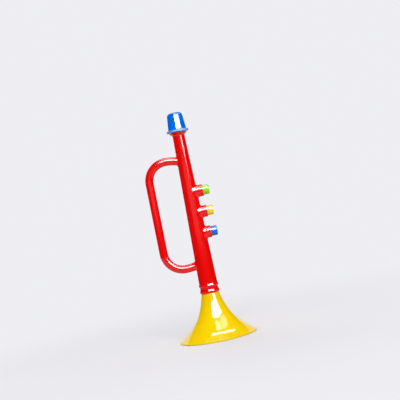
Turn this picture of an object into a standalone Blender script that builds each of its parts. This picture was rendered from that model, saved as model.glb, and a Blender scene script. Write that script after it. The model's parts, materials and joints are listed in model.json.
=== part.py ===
"""Toy trumpet with three push valves, modelled as the separate pieces that it is moulded from.

The trumpet stands on its bell rim. +Z runs from the bell up to the mouthpiece, the handle loop
is on the -X side, the valves point to +X, and the two body halves meet at the plane y = 0.
The origin is under the middle of the whole trumpet, on the surface that the bell stands on.
All lengths are in metres.
"""

import math

import bmesh
import bpy
from mathutils import Matrix, Vector

# Whole trumpet
OVERALL_LENGTH = 0.180
FIT_GAP = 0.0003
SEAM_GAP = 0.0001
OVERRUN = 0.001
MERGE_DISTANCE = 0.000001
SMOOTH_ANGLE = math.radians(32)

# Body tube: a hollow cone that widens towards the bell
TUBE_TOP_RADIUS = 0.0048
TUBE_END_RADIUS = 0.00735
BODY_WALL = 0.0013
TUBE_SEGMENTS = 36

# Collar and spigot at the top of the tube, under and inside the mouthpiece
COLLAR_RISE = 0.0023
COLLAR_HEIGHT = 0.0026
COLLAR_EDGE = 0.0004
SPIGOT_RISE = 0.0004
SPIGOT_HEIGHT = 0.0056
SPIGOT_CHAMFER = 0.0004

# Bead, groove and ring at the bell end of the tube
BEAD_RISE = 0.0003
BEAD_HEIGHT = 0.0024
BEAD_CREST_SHARE = 0.6
GROOVE_DEPTH = 0.00015
GROOVE_HEIGHT = 0.0022
RING_RISE = 0.0003
RING_HEIGHT = 0.0029
RING_ROUND = 0.0007
ROUND_STEPS = 3

# Bell: a thin flared shell with a neck that seats inside the ring end
BELL_LENGTH = 0.0352
BELL_RIM_RADIUS = 0.0305
BELL_WALL = 0.0013
BELL_SHOULDER_STEP = 0.0003
BELL_NECK_LENGTH = 0.010
BELL_NECK_CHAMFER = 0.0004
BELL_LIP_HEIGHT = 0.001
BELL_LIP_ROUND = 0.0004
BELL_LIP_WIDTH = 0.0015
FLARE_GROWTH_SHARE = 2.07
FLARE_INNER_END_SHARE = 0.95
FLARE_STEPS = 10
BELL_SEGMENTS = 48

# Snap bead inside the ring end, which the groove half-way up the bell's neck closes over
SNAP_RISE = 0.0005
SNAP_HEIGHT = 0.0014

# Mouthpiece cup: a blue thimble with a flange, pushed over the spigot
CUP_LENGTH = 0.0155
CUP_BASE_WALL = 0.0018
CUP_TAPER = 0.00135
CUP_WALL = 0.0013
CUP_SHOULDER = 0.0030
CUP_TOP_THICKNESS = 0.0016
CUP_LEDGE = 0.0006
FLANGE_RISE = 0.00135
FLANGE_HEIGHT = 0.0018
FLANGE_ROUND = 0.0006
BLOW_HOLE_RADIUS = 0.0021
BLOW_HOLE_CHAMFER = 0.0006
CUP_SEGMENTS = 32

# Reed unit inside the mouthpiece
REED_PLUG_DEPTH = 0.005
REED_PLUG_WALL = 0.0008
REED_FLANGE_HEIGHT = 0.001
SHALLOT_RADIUS = 0.0024
SHALLOT_LENGTH = 0.0062
SHALLOT_BORE_RADIUS = 0.0009
SHALLOT_TOP_THICKNESS = 0.0008
REED_WIDTH = 0.0026
REED_THICKNESS = 0.00025
REED_TIP_MARGIN = 0.0004
REED_SLOT_WIDTH = 0.0012
CLAMP_HEIGHT = 0.0014
CLAMP_WALL = 0.0008
CLAMP_LIFT = 0.0004
REED_SEGMENTS = 16

# Handle: one hollow loop from the top of the tube down to its lower end
HANDLE_OFFSET = 0.030
HANDLE_RADIUS = 0.00325
HANDLE_WALL = 0.0012
HANDLE_CORNER_RADIUS = 0.015
HANDLE_SHOULDER_DROP = 0.0024
HANDLE_TOP_DROP = 0.0183
HANDLE_BOTTOM_RISE = 0.0142
HANDLE_END_SHARE = 0.5
HANDLE_CORNER_STEPS = 8
HANDLE_SHOULDER_STEPS = 3
HANDLE_SIDES = 16
HANDLE_HOLLOW_SIDES = 8

# Locating pins on the rear half, which enter sockets in the front half
PIN_BOSS_RADIUS = 0.0017
PIN_RADIUS = 0.0008
PIN_LENGTH = 0.0012
PIN_RUN_SHARE = 0.32
PIN_SEGMENTS = 8

# Valves: three alike, on one line, set out from the middle one
VALVE_NAMES = ("green", "yellow", "blue")
VALVE_MIDDLE_DROP = 0.0623
VALVE_PITCH = 0.01655
CASING_REACH = 0.0104
CASING_RADIUS = 0.00475
CASING_WALL = 0.00065
CASING_ROUND = 0.0002
SEAT_SHARE = 0.5
FLOOR_THICKNESS = 0.0011
CASING_SEGMENTS = 24

# Push buttons: cap and stem in one piece
BUTTON_PROUD = 0.0051
BUTTON_TRAVEL = 0.0036
BUTTON_CLEARANCE = 0.0002
BUTTON_WALL = 0.0008
BUTTON_TOP_THICKNESS = 0.0012
BUTTON_ROUND = 0.0007
STEM_RADIUS = 0.0011
STEM_CLEARANCE = 0.0005
STEM_NECK_RADIUS = 0.0006
STEM_TIP_LENGTH = 0.001
BUTTON_SEGMENTS = 20

# Seal pads on the stems, and the return springs round them
PAD_THICKNESS = 0.0012
PAD_LAP = 0.001
PAD_SEGMENTS = 12
SPRING_WIRE_RADIUS = 0.0002
SPRING_WIRE_SIDES = 6
SPRING_TURNS = 5
SPRING_POINTS_PER_TURN = 8

# Colours, as sRGB, and how rough each finish is
RED_PLASTIC = ((0.92, 0.03, 0.03), 0.25)
YELLOW_PLASTIC = ((1.00, 0.85, 0.02), 0.18)
CAP_YELLOW_PLASTIC = ((0.98, 0.80, 0.19), 0.18)
BLUE_PLASTIC = ((0.02, 0.42, 0.86), 0.18)
GREEN_PLASTIC = ((0.56, 0.87, 0.02), 0.18)
CREAM_PLASTIC = ((0.90, 0.88, 0.80), 0.35)
SOFT_SEAL = ((0.16, 0.16, 0.17), 0.70)
REED_STRIP = ((0.93, 0.93, 0.90), 0.30)
STEEL = ((0.72, 0.73, 0.75), 0.25)

# Levels and radii that follow from the sizes above
RING_BOTTOM = BELL_LENGTH + FIT_GAP
RING_TOP = RING_BOTTOM + RING_HEIGHT
BEAD_BOTTOM = RING_TOP + GROOVE_HEIGHT
BEAD_TOP = BEAD_BOTTOM + BEAD_HEIGHT
FLANGE_BOTTOM = OVERALL_LENGTH - CUP_LENGTH
COLLAR_TOP = FLANGE_BOTTOM - FIT_GAP
COLLAR_BOTTOM = COLLAR_TOP - COLLAR_HEIGHT
SPIGOT_TOP = COLLAR_TOP + SPIGOT_HEIGHT
SPIGOT_RADIUS = TUBE_TOP_RADIUS + SPIGOT_RISE
SOCKET_RADIUS = SPIGOT_RADIUS + FIT_GAP
BORE_TOP_RADIUS = TUBE_TOP_RADIUS - BODY_WALL
REED_FLANGE_BOTTOM = SPIGOT_TOP + FIT_GAP
REED_FLANGE_TOP = REED_FLANGE_BOTTOM + REED_FLANGE_HEIGHT
HANDLE_TOP = COLLAR_BOTTOM - HANDLE_TOP_DROP
HANDLE_BOTTOM = BEAD_TOP + HANDLE_BOTTOM_RISE
TRUMPET_AXIS_X = (HANDLE_OFFSET + HANDLE_RADIUS - BELL_RIM_RADIUS) / 2


def tube_radius(height):
    """Outer radius of the conical tube at a height between its bead and its collar."""
    share = (COLLAR_BOTTOM - height) / (COLLAR_BOTTOM - BEAD_TOP)
    return TUBE_TOP_RADIUS + share * (TUBE_END_RADIUS - TUBE_TOP_RADIUS)


def bore_radius(height):
    """Inner radius of the conical tube at a height."""
    return tube_radius(height) - BODY_WALL


VALVE_MIDDLE = COLLAR_BOTTOM - VALVE_MIDDLE_DROP
VALVE_HEIGHTS = (VALVE_MIDDLE + VALVE_PITCH, VALVE_MIDDLE, VALVE_MIDDLE - VALVE_PITCH)
SEAT_REACH = SEAT_SHARE * tube_radius(VALVE_HEIGHTS[0])
FLOOR_REACH = SEAT_REACH + FLOOR_THICKNESS
WELL_RADIUS = CASING_RADIUS - CASING_WALL
STEM_HOLE_RADIUS = STEM_RADIUS + STEM_CLEARANCE
BUTTON_RADIUS = WELL_RADIUS - BUTTON_CLEARANCE
BUTTON_INNER_RADIUS = BUTTON_RADIUS - BUTTON_WALL
BUTTON_REACH = CASING_REACH + BUTTON_PROUD
BUTTON_UNDERSIDE = BUTTON_REACH - BUTTON_TOP_THICKNESS
SKIRT_REACH = FLOOR_REACH + FIT_GAP + BUTTON_TRAVEL
PAD_OUTER_REACH = SEAT_REACH - FIT_GAP
PAD_INNER_REACH = PAD_OUTER_REACH - PAD_THICKNESS
NECK_TOP = BELL_LENGTH + BELL_NECK_LENGTH
NECK_RADIUS = bore_radius(NECK_TOP) - FIT_GAP
SNAP_TOP = BELL_LENGTH + (BELL_NECK_LENGTH + SNAP_HEIGHT) / 2
SNAP_BOTTOM = SNAP_TOP - SNAP_HEIGHT
SHALLOT_TOP = REED_FLANGE_TOP + SHALLOT_LENGTH
CLAMP_BOTTOM = REED_FLANGE_TOP + CLAMP_LIFT
CLAMP_TOP = CLAMP_BOTTOM + CLAMP_HEIGHT
CLAMP_INNER_RADIUS = SHALLOT_RADIUS + FIT_GAP
REED_OUTER_FACE = math.sqrt(CLAMP_INNER_RADIUS ** 2 - (REED_WIDTH / 2) ** 2) - FIT_GAP
REED_INNER_FACE = REED_OUTER_FACE - REED_THICKNESS
SHALLOT_FLAT = REED_INNER_FACE - FIT_GAP


def clear_scene():
    """Remove every object that the scene starts with."""
    for existing in list(bpy.data.objects):
        bpy.data.objects.remove(existing, do_unlink=True)


def new_collection(name):
    """Add a collection to the scene."""
    collection = bpy.data.collections.new(name)
    bpy.context.scene.collection.children.link(collection)
    return collection


def linear_channel(value):
    """Turn one sRGB channel into the linear value that a shader takes."""
    return value / 12.92 if value <= 0.04045 else ((value + 0.055) / 1.055) ** 2.4


def new_material(name, finish, metallic=0.0):
    """Make a Principled material from an sRGB colour and a roughness."""
    colour, roughness = finish
    material = bpy.data.materials.new(name)
    material.use_nodes = True
    shader = material.node_tree.nodes["Principled BSDF"]
    linear = [linear_channel(channel) for channel in colour]
    shader.inputs["Base Color"].default_value = (*linear, 1.0)
    shader.inputs["Roughness"].default_value = roughness
    shader.inputs["Metallic"].default_value = metallic
    material.diffuse_color = (*linear, 1.0)
    return material


def new_smoothing_group():
    """Make a node group that shades a mesh smooth but keeps its real edges sharp."""
    group = bpy.data.node_groups.new("smooth_by_angle", "GeometryNodeTree")
    group.interface.new_socket("Geometry", in_out="INPUT", socket_type="NodeSocketGeometry")
    group.interface.new_socket("Geometry", in_out="OUTPUT", socket_type="NodeSocketGeometry")
    source = group.nodes.new("NodeGroupInput")
    result = group.nodes.new("NodeGroupOutput")
    edge_angle = group.nodes.new("GeometryNodeInputMeshEdgeAngle")
    is_soft = group.nodes.new("FunctionNodeCompare")
    is_soft.data_type = "FLOAT"
    is_soft.operation = "LESS_THAN"
    is_soft.inputs["B"].default_value = SMOOTH_ANGLE
    smooth_faces = group.nodes.new("GeometryNodeSetShadeSmooth")
    smooth_faces.domain = "FACE"
    smooth_edges = group.nodes.new("GeometryNodeSetShadeSmooth")
    smooth_edges.domain = "EDGE"
    group.links.new(edge_angle.outputs["Unsigned Angle"], is_soft.inputs["A"])
    group.links.new(source.outputs["Geometry"], smooth_faces.inputs["Geometry"])
    group.links.new(smooth_faces.outputs["Geometry"], smooth_edges.inputs["Geometry"])
    group.links.new(is_soft.outputs["Result"], smooth_edges.inputs["Shade Smooth"])
    group.links.new(smooth_edges.outputs["Geometry"], result.inputs["Geometry"])
    return group


class Workshop:
    """Where the pieces are made: their collections, materials and shared frame."""

    def __init__(self):
        self.parts = new_collection("toy_trumpet")
        self.cutters = new_collection("toy_trumpet_cutters")
        self.smoothing = new_smoothing_group()
        self.frame = self.new_frame("trumpet_axis", Matrix.Translation((TRUMPET_AXIS_X, 0, 0)))
        self.red = new_material("red_plastic", RED_PLASTIC)
        self.yellow = new_material("yellow_plastic", YELLOW_PLASTIC)
        self.cap_yellow = new_material("cap_yellow_plastic", CAP_YELLOW_PLASTIC)
        self.blue = new_material("blue_plastic", BLUE_PLASTIC)
        self.green = new_material("green_plastic", GREEN_PLASTIC)
        self.cream = new_material("cream_plastic", CREAM_PLASTIC)
        self.seal = new_material("soft_seal", SOFT_SEAL)
        self.strip = new_material("reed_strip", REED_STRIP)
        self.steel = new_material("spring_steel", STEEL, metallic=1.0)

    def new_frame(self, name, placement, parent=None):
        """Add an empty that pieces are placed by."""
        empty = bpy.data.objects.new(name, None)
        empty.empty_display_size = CASING_REACH
        empty.parent = parent
        empty.matrix_local = placement
        self.parts.objects.link(empty)
        return empty

    def add_part(self, name, data, material, frame=None):
        """Place a finished piece in the trumpet, with its own material."""
        piece = bpy.data.objects.new(name, data)
        data.materials.append(material)
        piece.parent = frame or self.frame
        self.parts.objects.link(piece)
        return piece

    def add_cutter(self, name, data, frame=None, group=None):
        """Place a shape that only cuts, joins or guides the pieces."""
        cutter = bpy.data.objects.new(name, data)
        cutter.parent = frame or self.frame
        cutter.hide_render = True
        cutter.display_type = "WIRE"
        (group or self.cutters).objects.link(cutter)
        return cutter

    def new_cutter_group(self, name):
        """Add a collection of cutters that work on a piece together."""
        group = bpy.data.collections.new(name)
        self.cutters.children.link(group)
        return group

    def finish(self, piece):
        """Shade a piece once all its shaping is done."""
        modifier = piece.modifiers.new("Smooth by angle", "NODES")
        modifier.node_group = self.smoothing
        return piece


def outline_mesh(name, profile, closed):
    """Make the outline of a turned shape from (radius, height) points, running down its outside."""
    points = [(radius, 0, height) for radius, height in profile]
    edges = [(index, index + 1) for index in range(len(points) - 1)]
    if closed:
        edges.append((len(points) - 1, 0))
    mesh = bpy.data.meshes.new(name)
    mesh.from_pydata(points, edges, [])
    return mesh


def turn(piece, segments):
    """Turn an outline about its Z axis into a solid."""
    screw = piece.modifiers.new("Turn", "SCREW")
    screw.axis = "Z"
    screw.angle = math.tau
    screw.steps = segments
    screw.render_steps = segments
    screw.use_merge_vertices = True
    screw.merge_threshold = MERGE_DISTANCE
    screw.use_smooth_shade = True
    return piece


def boolean(piece, other, operation):
    """Join, cut or intersect a piece with one object, or with a whole collection at once."""
    modifier = piece.modifiers.new(operation.title() + " " + other.name, "BOOLEAN")
    modifier.operation = operation
    if isinstance(other, bpy.types.Collection):
        modifier.operand_type = "COLLECTION"
        modifier.collection = other
    else:
        modifier.object = other
    return piece


def tidy_faces(piece):
    """Weld what a Boolean leaves doubled and part many-cornered faces, so the next one cuts cleanly."""
    weld = piece.modifiers.new("Weld", "WELD")
    weld.merge_threshold = MERGE_DISTANCE
    piece.modifiers.new("Triangulate", "TRIANGULATE")
    return piece


def block_mesh(name, low, high):
    """Make a box between two corners."""
    low, high = Vector(low), Vector(high)
    size = high - low
    placement = Matrix.Translation((low + high) / 2) @ Matrix.Diagonal((*size, 1.0))
    shape = bmesh.new()
    bmesh.ops.create_cube(shape, size=1.0, matrix=placement)
    mesh = bpy.data.meshes.new(name)
    shape.to_mesh(mesh)
    shape.free()
    return mesh


def pin_cylinders_mesh(name, radius, low_y, high_y):
    """Make a cylinder along Y at each place of a locating pin."""
    shape = bmesh.new()
    turn_to_y = Matrix.Rotation(math.pi / 2, 4, "X")
    for x, z in pin_places():
        middle = Vector((x, (low_y + high_y) / 2, z))
        bmesh.ops.create_cone(shape, cap_ends=True, segments=PIN_SEGMENTS, radius1=radius, radius2=radius,
                              depth=high_y - low_y, matrix=Matrix.Translation(middle) @ turn_to_y)
    mesh = bpy.data.meshes.new(name)
    shape.to_mesh(mesh)
    shape.free()
    return mesh


def wire_curve(name, points, radius, sides, tilt=0.0):
    """Make a round wire or tube along a list of points."""
    curve = bpy.data.curves.new(name, "CURVE")
    curve.dimensions = "3D"
    curve.bevel_depth = radius
    curve.bevel_resolution = sides // 2 - 2
    curve.use_fill_caps = True
    spline = curve.splines.new("POLY")
    spline.points.add(len(points) - 1)
    for spline_point, point in zip(spline.points, points):
        spline_point.co = (*point, 1.0)
        spline_point.tilt = tilt
    return curve


def welded_tube(workshop, name, points, radius, sides):
    """Make a closed tube mesh along points, ready to join or cut another piece."""
    curve = bpy.data.objects.new(name + "_path", wire_curve(name, points, radius, sides, math.pi / sides))
    workshop.cutters.objects.link(curve)
    bpy.context.view_layer.update()
    evaluated = curve.evaluated_get(bpy.context.evaluated_depsgraph_get())
    mesh = bpy.data.meshes.new_from_object(evaluated)
    shape = bmesh.new()
    shape.from_mesh(mesh)
    bmesh.ops.remove_doubles(shape, verts=shape.verts, dist=MERGE_DISTANCE)
    shape.to_mesh(mesh)
    shape.free()
    tube = workshop.add_cutter(name, mesh)
    tube.matrix_basis = curve.matrix_world
    bpy.data.objects.remove(curve, do_unlink=True)
    return tube


def rounded_corner(start, end, steps, bulging):
    """Points of a quarter ellipse from start to end, both (radius, height), without the start.

    A bulging corner leaves its start along the radius; the other kind leaves it along the height.
    """
    points = []
    for step in range(1, steps + 1):
        angle = math.pi / 2 * step / steps
        early, late = math.sin(angle), 1 - math.cos(angle)
        radius_share, height_share = (early, late) if bulging else (late, early)
        points.append((start[0] + radius_share * (end[0] - start[0]),
                       start[1] + height_share * (end[1] - start[1])))
    return points


def eased_step(start, end, steps):
    """Points of a smooth S from start to end, both (radius, height), without the start."""
    points = []
    for step in range(1, steps + 1):
        share = step / steps
        rise = (1 - math.cos(math.pi * share)) / 2
        points.append((start[0] + rise * (end[0] - start[0]), start[1] + share * (end[1] - start[1])))
    return points


def arc_points(centre, radius, start_angle, end_angle, steps):
    """Points of an arc in the XZ plane, both ends included."""
    points = []
    for step in range(steps + 1):
        angle = start_angle + (end_angle - start_angle) * step / steps
        points.append(Vector((centre[0] + radius * math.cos(angle), 0, centre[1] + radius * math.sin(angle))))
    return points


def tube_profile():
    """Outside of the tube with its spigot, collar, bead, groove and ring."""
    collar_radius = TUBE_TOP_RADIUS + COLLAR_RISE
    bead_radius = TUBE_END_RADIUS + BEAD_RISE
    bead_crest = BEAD_TOP - BEAD_CREST_SHARE * BEAD_HEIGHT
    groove_radius = TUBE_END_RADIUS - GROOVE_DEPTH
    ring_radius = TUBE_END_RADIUS + RING_RISE
    profile = [
        (0, SPIGOT_TOP),
        (SPIGOT_RADIUS - SPIGOT_CHAMFER, SPIGOT_TOP),
        (SPIGOT_RADIUS, SPIGOT_TOP - SPIGOT_CHAMFER),
        (SPIGOT_RADIUS, COLLAR_TOP),
        (collar_radius, COLLAR_TOP),
        (collar_radius, COLLAR_TOP - COLLAR_EDGE),
        (TUBE_TOP_RADIUS, COLLAR_BOTTOM),
        (TUBE_END_RADIUS, BEAD_TOP),
    ]
    profile += eased_step(profile[-1], (bead_radius, bead_crest), ROUND_STEPS)
    profile += rounded_corner(profile[-1], (groove_radius, BEAD_BOTTOM), ROUND_STEPS, False)
    profile.append((groove_radius, RING_TOP))
    profile += rounded_corner(profile[-1], (ring_radius, RING_TOP - RING_ROUND), ROUND_STEPS, True)
    profile.append((ring_radius, RING_BOTTOM + RING_ROUND))
    profile += rounded_corner(profile[-1], (groove_radius, RING_BOTTOM), ROUND_STEPS, False)
    profile.append((0, RING_BOTTOM))
    return profile


def bore_profile():
    """Inside of the tube, with the snap bead that holds the bell's neck."""
    snap_radius = NECK_RADIUS - SNAP_RISE + FIT_GAP
    top = SPIGOT_TOP + OVERRUN
    bottom = RING_BOTTOM - OVERRUN
    return [
        (0, top),
        (BORE_TOP_RADIUS, top),
        (BORE_TOP_RADIUS, COLLAR_BOTTOM),
        (bore_radius(NECK_TOP), NECK_TOP),
        (bore_radius(NECK_TOP), SNAP_TOP + SNAP_RISE),
        (snap_radius, SNAP_TOP),
        (snap_radius, SNAP_BOTTOM),
        (bore_radius(NECK_TOP), SNAP_BOTTOM - SNAP_RISE),
        (bore_radius(NECK_TOP), bottom),
        (0, bottom),
    ]


def handle_path():
    """Centre line of the handle loop, from inside the top of the tube to inside its lower end."""
    corner_x = HANDLE_CORNER_RADIUS - HANDLE_OFFSET
    corner_top = HANDLE_TOP - HANDLE_CORNER_RADIUS
    corner_bottom = HANDLE_BOTTOM + HANDLE_CORNER_RADIUS
    end_x = -HANDLE_END_SHARE * TUBE_TOP_RADIUS
    shoulder_run = end_x - corner_x
    shoulder_radius = (shoulder_run ** 2 + HANDLE_SHOULDER_DROP ** 2) / (2 * HANDLE_SHOULDER_DROP)
    shoulder_angle = math.asin(shoulder_run / shoulder_radius)
    up, left, down = math.pi / 2, math.pi, math.pi * 3 / 2
    top_shoulder = arc_points((corner_x, HANDLE_TOP - shoulder_radius), shoulder_radius,
                              up - shoulder_angle, up, HANDLE_SHOULDER_STEPS)
    top_corner = arc_points((corner_x, corner_top), HANDLE_CORNER_RADIUS, up, left, HANDLE_CORNER_STEPS)
    bottom_corner = arc_points((corner_x, corner_bottom), HANDLE_CORNER_RADIUS, left, down,
                               HANDLE_CORNER_STEPS)
    bottom_shoulder = arc_points((corner_x, HANDLE_BOTTOM + shoulder_radius), shoulder_radius,
                                 down, down + shoulder_angle, HANDLE_SHOULDER_STEPS)
    return top_shoulder[:-1] + top_corner + bottom_corner + bottom_shoulder[1:]


def pin_places():
    """Places (x, z) of the locating pins: both apexes of the loop and two on its straight run."""
    apex_x = HANDLE_CORNER_RADIUS - HANDLE_OFFSET
    middle = (HANDLE_TOP + HANDLE_BOTTOM) / 2
    spread = PIN_RUN_SHARE * (HANDLE_TOP - HANDLE_BOTTOM)
    return [
        (apex_x, HANDLE_TOP),
        (-HANDLE_OFFSET, middle + spread),
        (-HANDLE_OFFSET, middle - spread),
        (apex_x, HANDLE_BOTTOM),
    ]


def valve_frames(workshop):
    """Add one empty for each valve, on its axis, with its local Z pointing out of the casing."""
    point_outwards = Matrix.Rotation(math.pi / 2, 4, "Y")
    frames = {}
    for name, height in zip(VALVE_NAMES, VALVE_HEIGHTS):
        placement = Matrix.Translation((0, 0, height)) @ point_outwards
        frames[name] = workshop.new_frame(f"valve_{name}_axis", placement, workshop.frame)
    return frames


def casing_profile():
    """Outside of a valve casing, from its mouth down to the seat inside the tube."""
    return [
        (0, CASING_REACH),
        (CASING_RADIUS - CASING_ROUND, CASING_REACH),
        (CASING_RADIUS, CASING_REACH - CASING_ROUND),
        (CASING_RADIUS, SEAT_REACH),
        (0, SEAT_REACH),
    ]


def well_profile():
    """Hollow of a valve casing: the well for the button and the vent hole in its floor."""
    return [
        (0, CASING_REACH + OVERRUN),
        (WELL_RADIUS, CASING_REACH + OVERRUN),
        (WELL_RADIUS, FLOOR_REACH),
        (STEM_HOLE_RADIUS, FLOOR_REACH),
        (STEM_HOLE_RADIUS, SEAT_REACH - OVERRUN),
        (0, SEAT_REACH - OVERRUN),
    ]


def turned_on_seam(workshop, name, profile):
    """Turn a solid about the tube's axis, with flats and not corners where the seam will cut it."""
    shape = workshop.add_cutter(name, outline_mesh(name, profile, False))
    shape.rotation_euler.z = math.pi / TUBE_SEGMENTS
    return turn(shape, TUBE_SEGMENTS)


def turned_on_valves(workshop, frames, label, profile):
    """Turn the same solid about each valve's axis, as one group of cutters."""
    group = workshop.new_cutter_group(f"valve_{label}s")
    for name, frame in frames.items():
        mesh = outline_mesh(f"{name}_{label}", profile, False)
        shape = workshop.add_cutter(f"{name}_{label}", mesh, frame, group)
        shape.rotation_euler.z = math.pi / CASING_SEGMENTS
        turn(shape, CASING_SEGMENTS)
    return group


def build_body_shell(workshop, frames):
    """Make the whole hollow body as one guide shape, before it is parted into halves."""
    shell = turned_on_seam(workshop, "body_shell", tube_profile())
    path = handle_path()
    boolean(shell, welded_tube(workshop, "handle_outside", path, HANDLE_RADIUS, HANDLE_SIDES), "UNION")
    boolean(shell, turned_on_seam(workshop, "tube_bore", bore_profile()), "DIFFERENCE")
    hollow = welded_tube(workshop, "handle_hollow", path, HANDLE_RADIUS - HANDLE_WALL, HANDLE_HOLLOW_SIDES)
    boolean(shell, hollow, "DIFFERENCE")
    boolean(tidy_faces(shell), turned_on_valves(workshop, frames, "casing", casing_profile()), "UNION")
    boolean(tidy_faces(shell), turned_on_valves(workshop, frames, "well", well_profile()), "DIFFERENCE")
    boss_end = HANDLE_RADIUS - HANDLE_WALL / 2
    bosses = pin_cylinders_mesh("pin_bosses", PIN_BOSS_RADIUS, -boss_end, boss_end)
    boolean(tidy_faces(shell), workshop.add_cutter("pin_bosses", bosses), "UNION")
    return tidy_faces(shell)


def half_block_mesh(name, side):
    """Make the block that holds everything on one side of the seam: -1 in front, +1 behind."""
    inner, outer = side * SEAM_GAP / 2, side * OVERALL_LENGTH
    low = (-OVERALL_LENGTH, min(inner, outer), RING_BOTTOM - OVERRUN)
    high = (OVERALL_LENGTH, max(inner, outer), OVERALL_LENGTH)
    return block_mesh(name, low, high)


def build_body_halves(workshop, frames):
    """Make the front and rear half shells, with sockets in the one and pins on the other."""
    shell = build_body_shell(workshop, frames)
    front = workshop.add_part("body_front_half", half_block_mesh("body_front_half", -1), workshop.red)
    rear = workshop.add_part("body_rear_half", half_block_mesh("body_rear_half", 1), workshop.red)
    boolean(front, shell, "INTERSECT")
    boolean(rear, shell, "INTERSECT")
    sockets = pin_cylinders_mesh("pin_sockets", PIN_RADIUS + FIT_GAP, -PIN_LENGTH - FIT_GAP, SEAM_GAP)
    boolean(tidy_faces(front), workshop.add_cutter("pin_sockets", sockets), "DIFFERENCE")
    pins = pin_cylinders_mesh("pins", PIN_RADIUS, -PIN_LENGTH, PIN_LENGTH)
    boolean(tidy_faces(rear), workshop.add_cutter("pins", pins), "UNION")
    workshop.finish(tidy_faces(front))
    workshop.finish(tidy_faces(rear))


def flare_point(share):
    """Outer flare of the bell at a share of its way from the shoulder to the lip.

    Returns the radius, the height and the slope, which is how fast the radius grows on the way down.
    """
    shoulder_radius = TUBE_END_RADIUS - BELL_SHOULDER_STEP
    depth = BELL_LENGTH - BELL_LIP_HEIGHT
    scale = (BELL_RIM_RADIUS - shoulder_radius) / (math.exp(FLARE_GROWTH_SHARE) - 1)
    growth = math.exp(FLARE_GROWTH_SHARE * share)
    radius = shoulder_radius + scale * (growth - 1)
    return radius, BELL_LENGTH - share * depth, scale * FLARE_GROWTH_SHARE * growth / depth


def bell_profile():
    """Section of the bell: down the neck and the outer flare, round the lip and back up inside."""
    snap_groove = NECK_RADIUS - SNAP_RISE
    inner_neck = NECK_RADIUS - BELL_WALL
    profile = [
        (NECK_RADIUS - BELL_NECK_CHAMFER, NECK_TOP),
        (NECK_RADIUS, NECK_TOP - BELL_NECK_CHAMFER),
        (NECK_RADIUS, SNAP_TOP + SNAP_RISE + FIT_GAP),
        (snap_groove, SNAP_TOP + FIT_GAP),
        (snap_groove, SNAP_BOTTOM - FIT_GAP),
        (NECK_RADIUS, SNAP_BOTTOM - SNAP_RISE - FIT_GAP),
        (NECK_RADIUS, BELL_LENGTH),
    ]
    profile += [flare_point(step / FLARE_STEPS)[:2] for step in range(FLARE_STEPS + 1)]
    profile.append((BELL_RIM_RADIUS, BELL_LIP_ROUND))
    profile += rounded_corner(profile[-1], (BELL_RIM_RADIUS - BELL_LIP_ROUND, 0), ROUND_STEPS, False)
    profile.append((BELL_RIM_RADIUS - BELL_LIP_WIDTH, 0))
    for step in range(FLARE_STEPS, 0, -1):
        radius, height, slope = flare_point(FLARE_INNER_END_SHARE * step / FLARE_STEPS)
        length = math.hypot(1, slope)
        profile.append((radius - BELL_WALL / length, height - BELL_WALL * slope / length))
    profile.append((inner_neck, BELL_LENGTH))
    profile.append((inner_neck, NECK_TOP))
    return profile


def build_bell(workshop):
    """Make the yellow bell."""
    bell = workshop.add_part("bell", outline_mesh("bell", bell_profile(), True), workshop.yellow)
    workshop.finish(turn(bell, BELL_SEGMENTS))


def cup_profile():
    """Section of the mouthpiece cup: down its outside, round the flange and back up inside."""
    base_radius = SOCKET_RADIUS + CUP_BASE_WALL
    top_radius = base_radius - CUP_TAPER
    flange_radius = base_radius + FLANGE_RISE
    flange_top = FLANGE_BOTTOM + FLANGE_HEIGHT
    ledge = REED_FLANGE_TOP + FIT_GAP
    chamber_top = OVERALL_LENGTH - CUP_TOP_THICKNESS
    profile = [(BLOW_HOLE_RADIUS + BLOW_HOLE_CHAMFER, OVERALL_LENGTH),
               (top_radius - CUP_SHOULDER, OVERALL_LENGTH)]
    profile += rounded_corner(profile[-1], (top_radius, OVERALL_LENGTH - CUP_SHOULDER), 2 * ROUND_STEPS, True)
    profile.append((base_radius, flange_top + FLANGE_ROUND))
    profile += rounded_corner(profile[-1], (base_radius + FLANGE_ROUND, flange_top), ROUND_STEPS, False)
    profile.append((flange_radius - FLANGE_ROUND, flange_top))
    profile += rounded_corner(profile[-1], (flange_radius, flange_top - FLANGE_ROUND), ROUND_STEPS, True)
    profile += [
        (flange_radius, FLANGE_BOTTOM),
        (SOCKET_RADIUS, FLANGE_BOTTOM),
        (SOCKET_RADIUS, ledge),
        (SOCKET_RADIUS - CUP_LEDGE, ledge),
        (top_radius - CUP_WALL, chamber_top),
        (BLOW_HOLE_RADIUS, chamber_top),
        (BLOW_HOLE_RADIUS, OVERALL_LENGTH - BLOW_HOLE_CHAMFER),
    ]
    return profile


def build_mouthpiece(workshop):
    """Make the blue mouthpiece cup."""
    mesh = outline_mesh("mouthpiece_cup", cup_profile(), True)
    cup = workshop.add_part("mouthpiece_cup", mesh, workshop.blue)
    workshop.finish(turn(cup, CUP_SEGMENTS))


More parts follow.
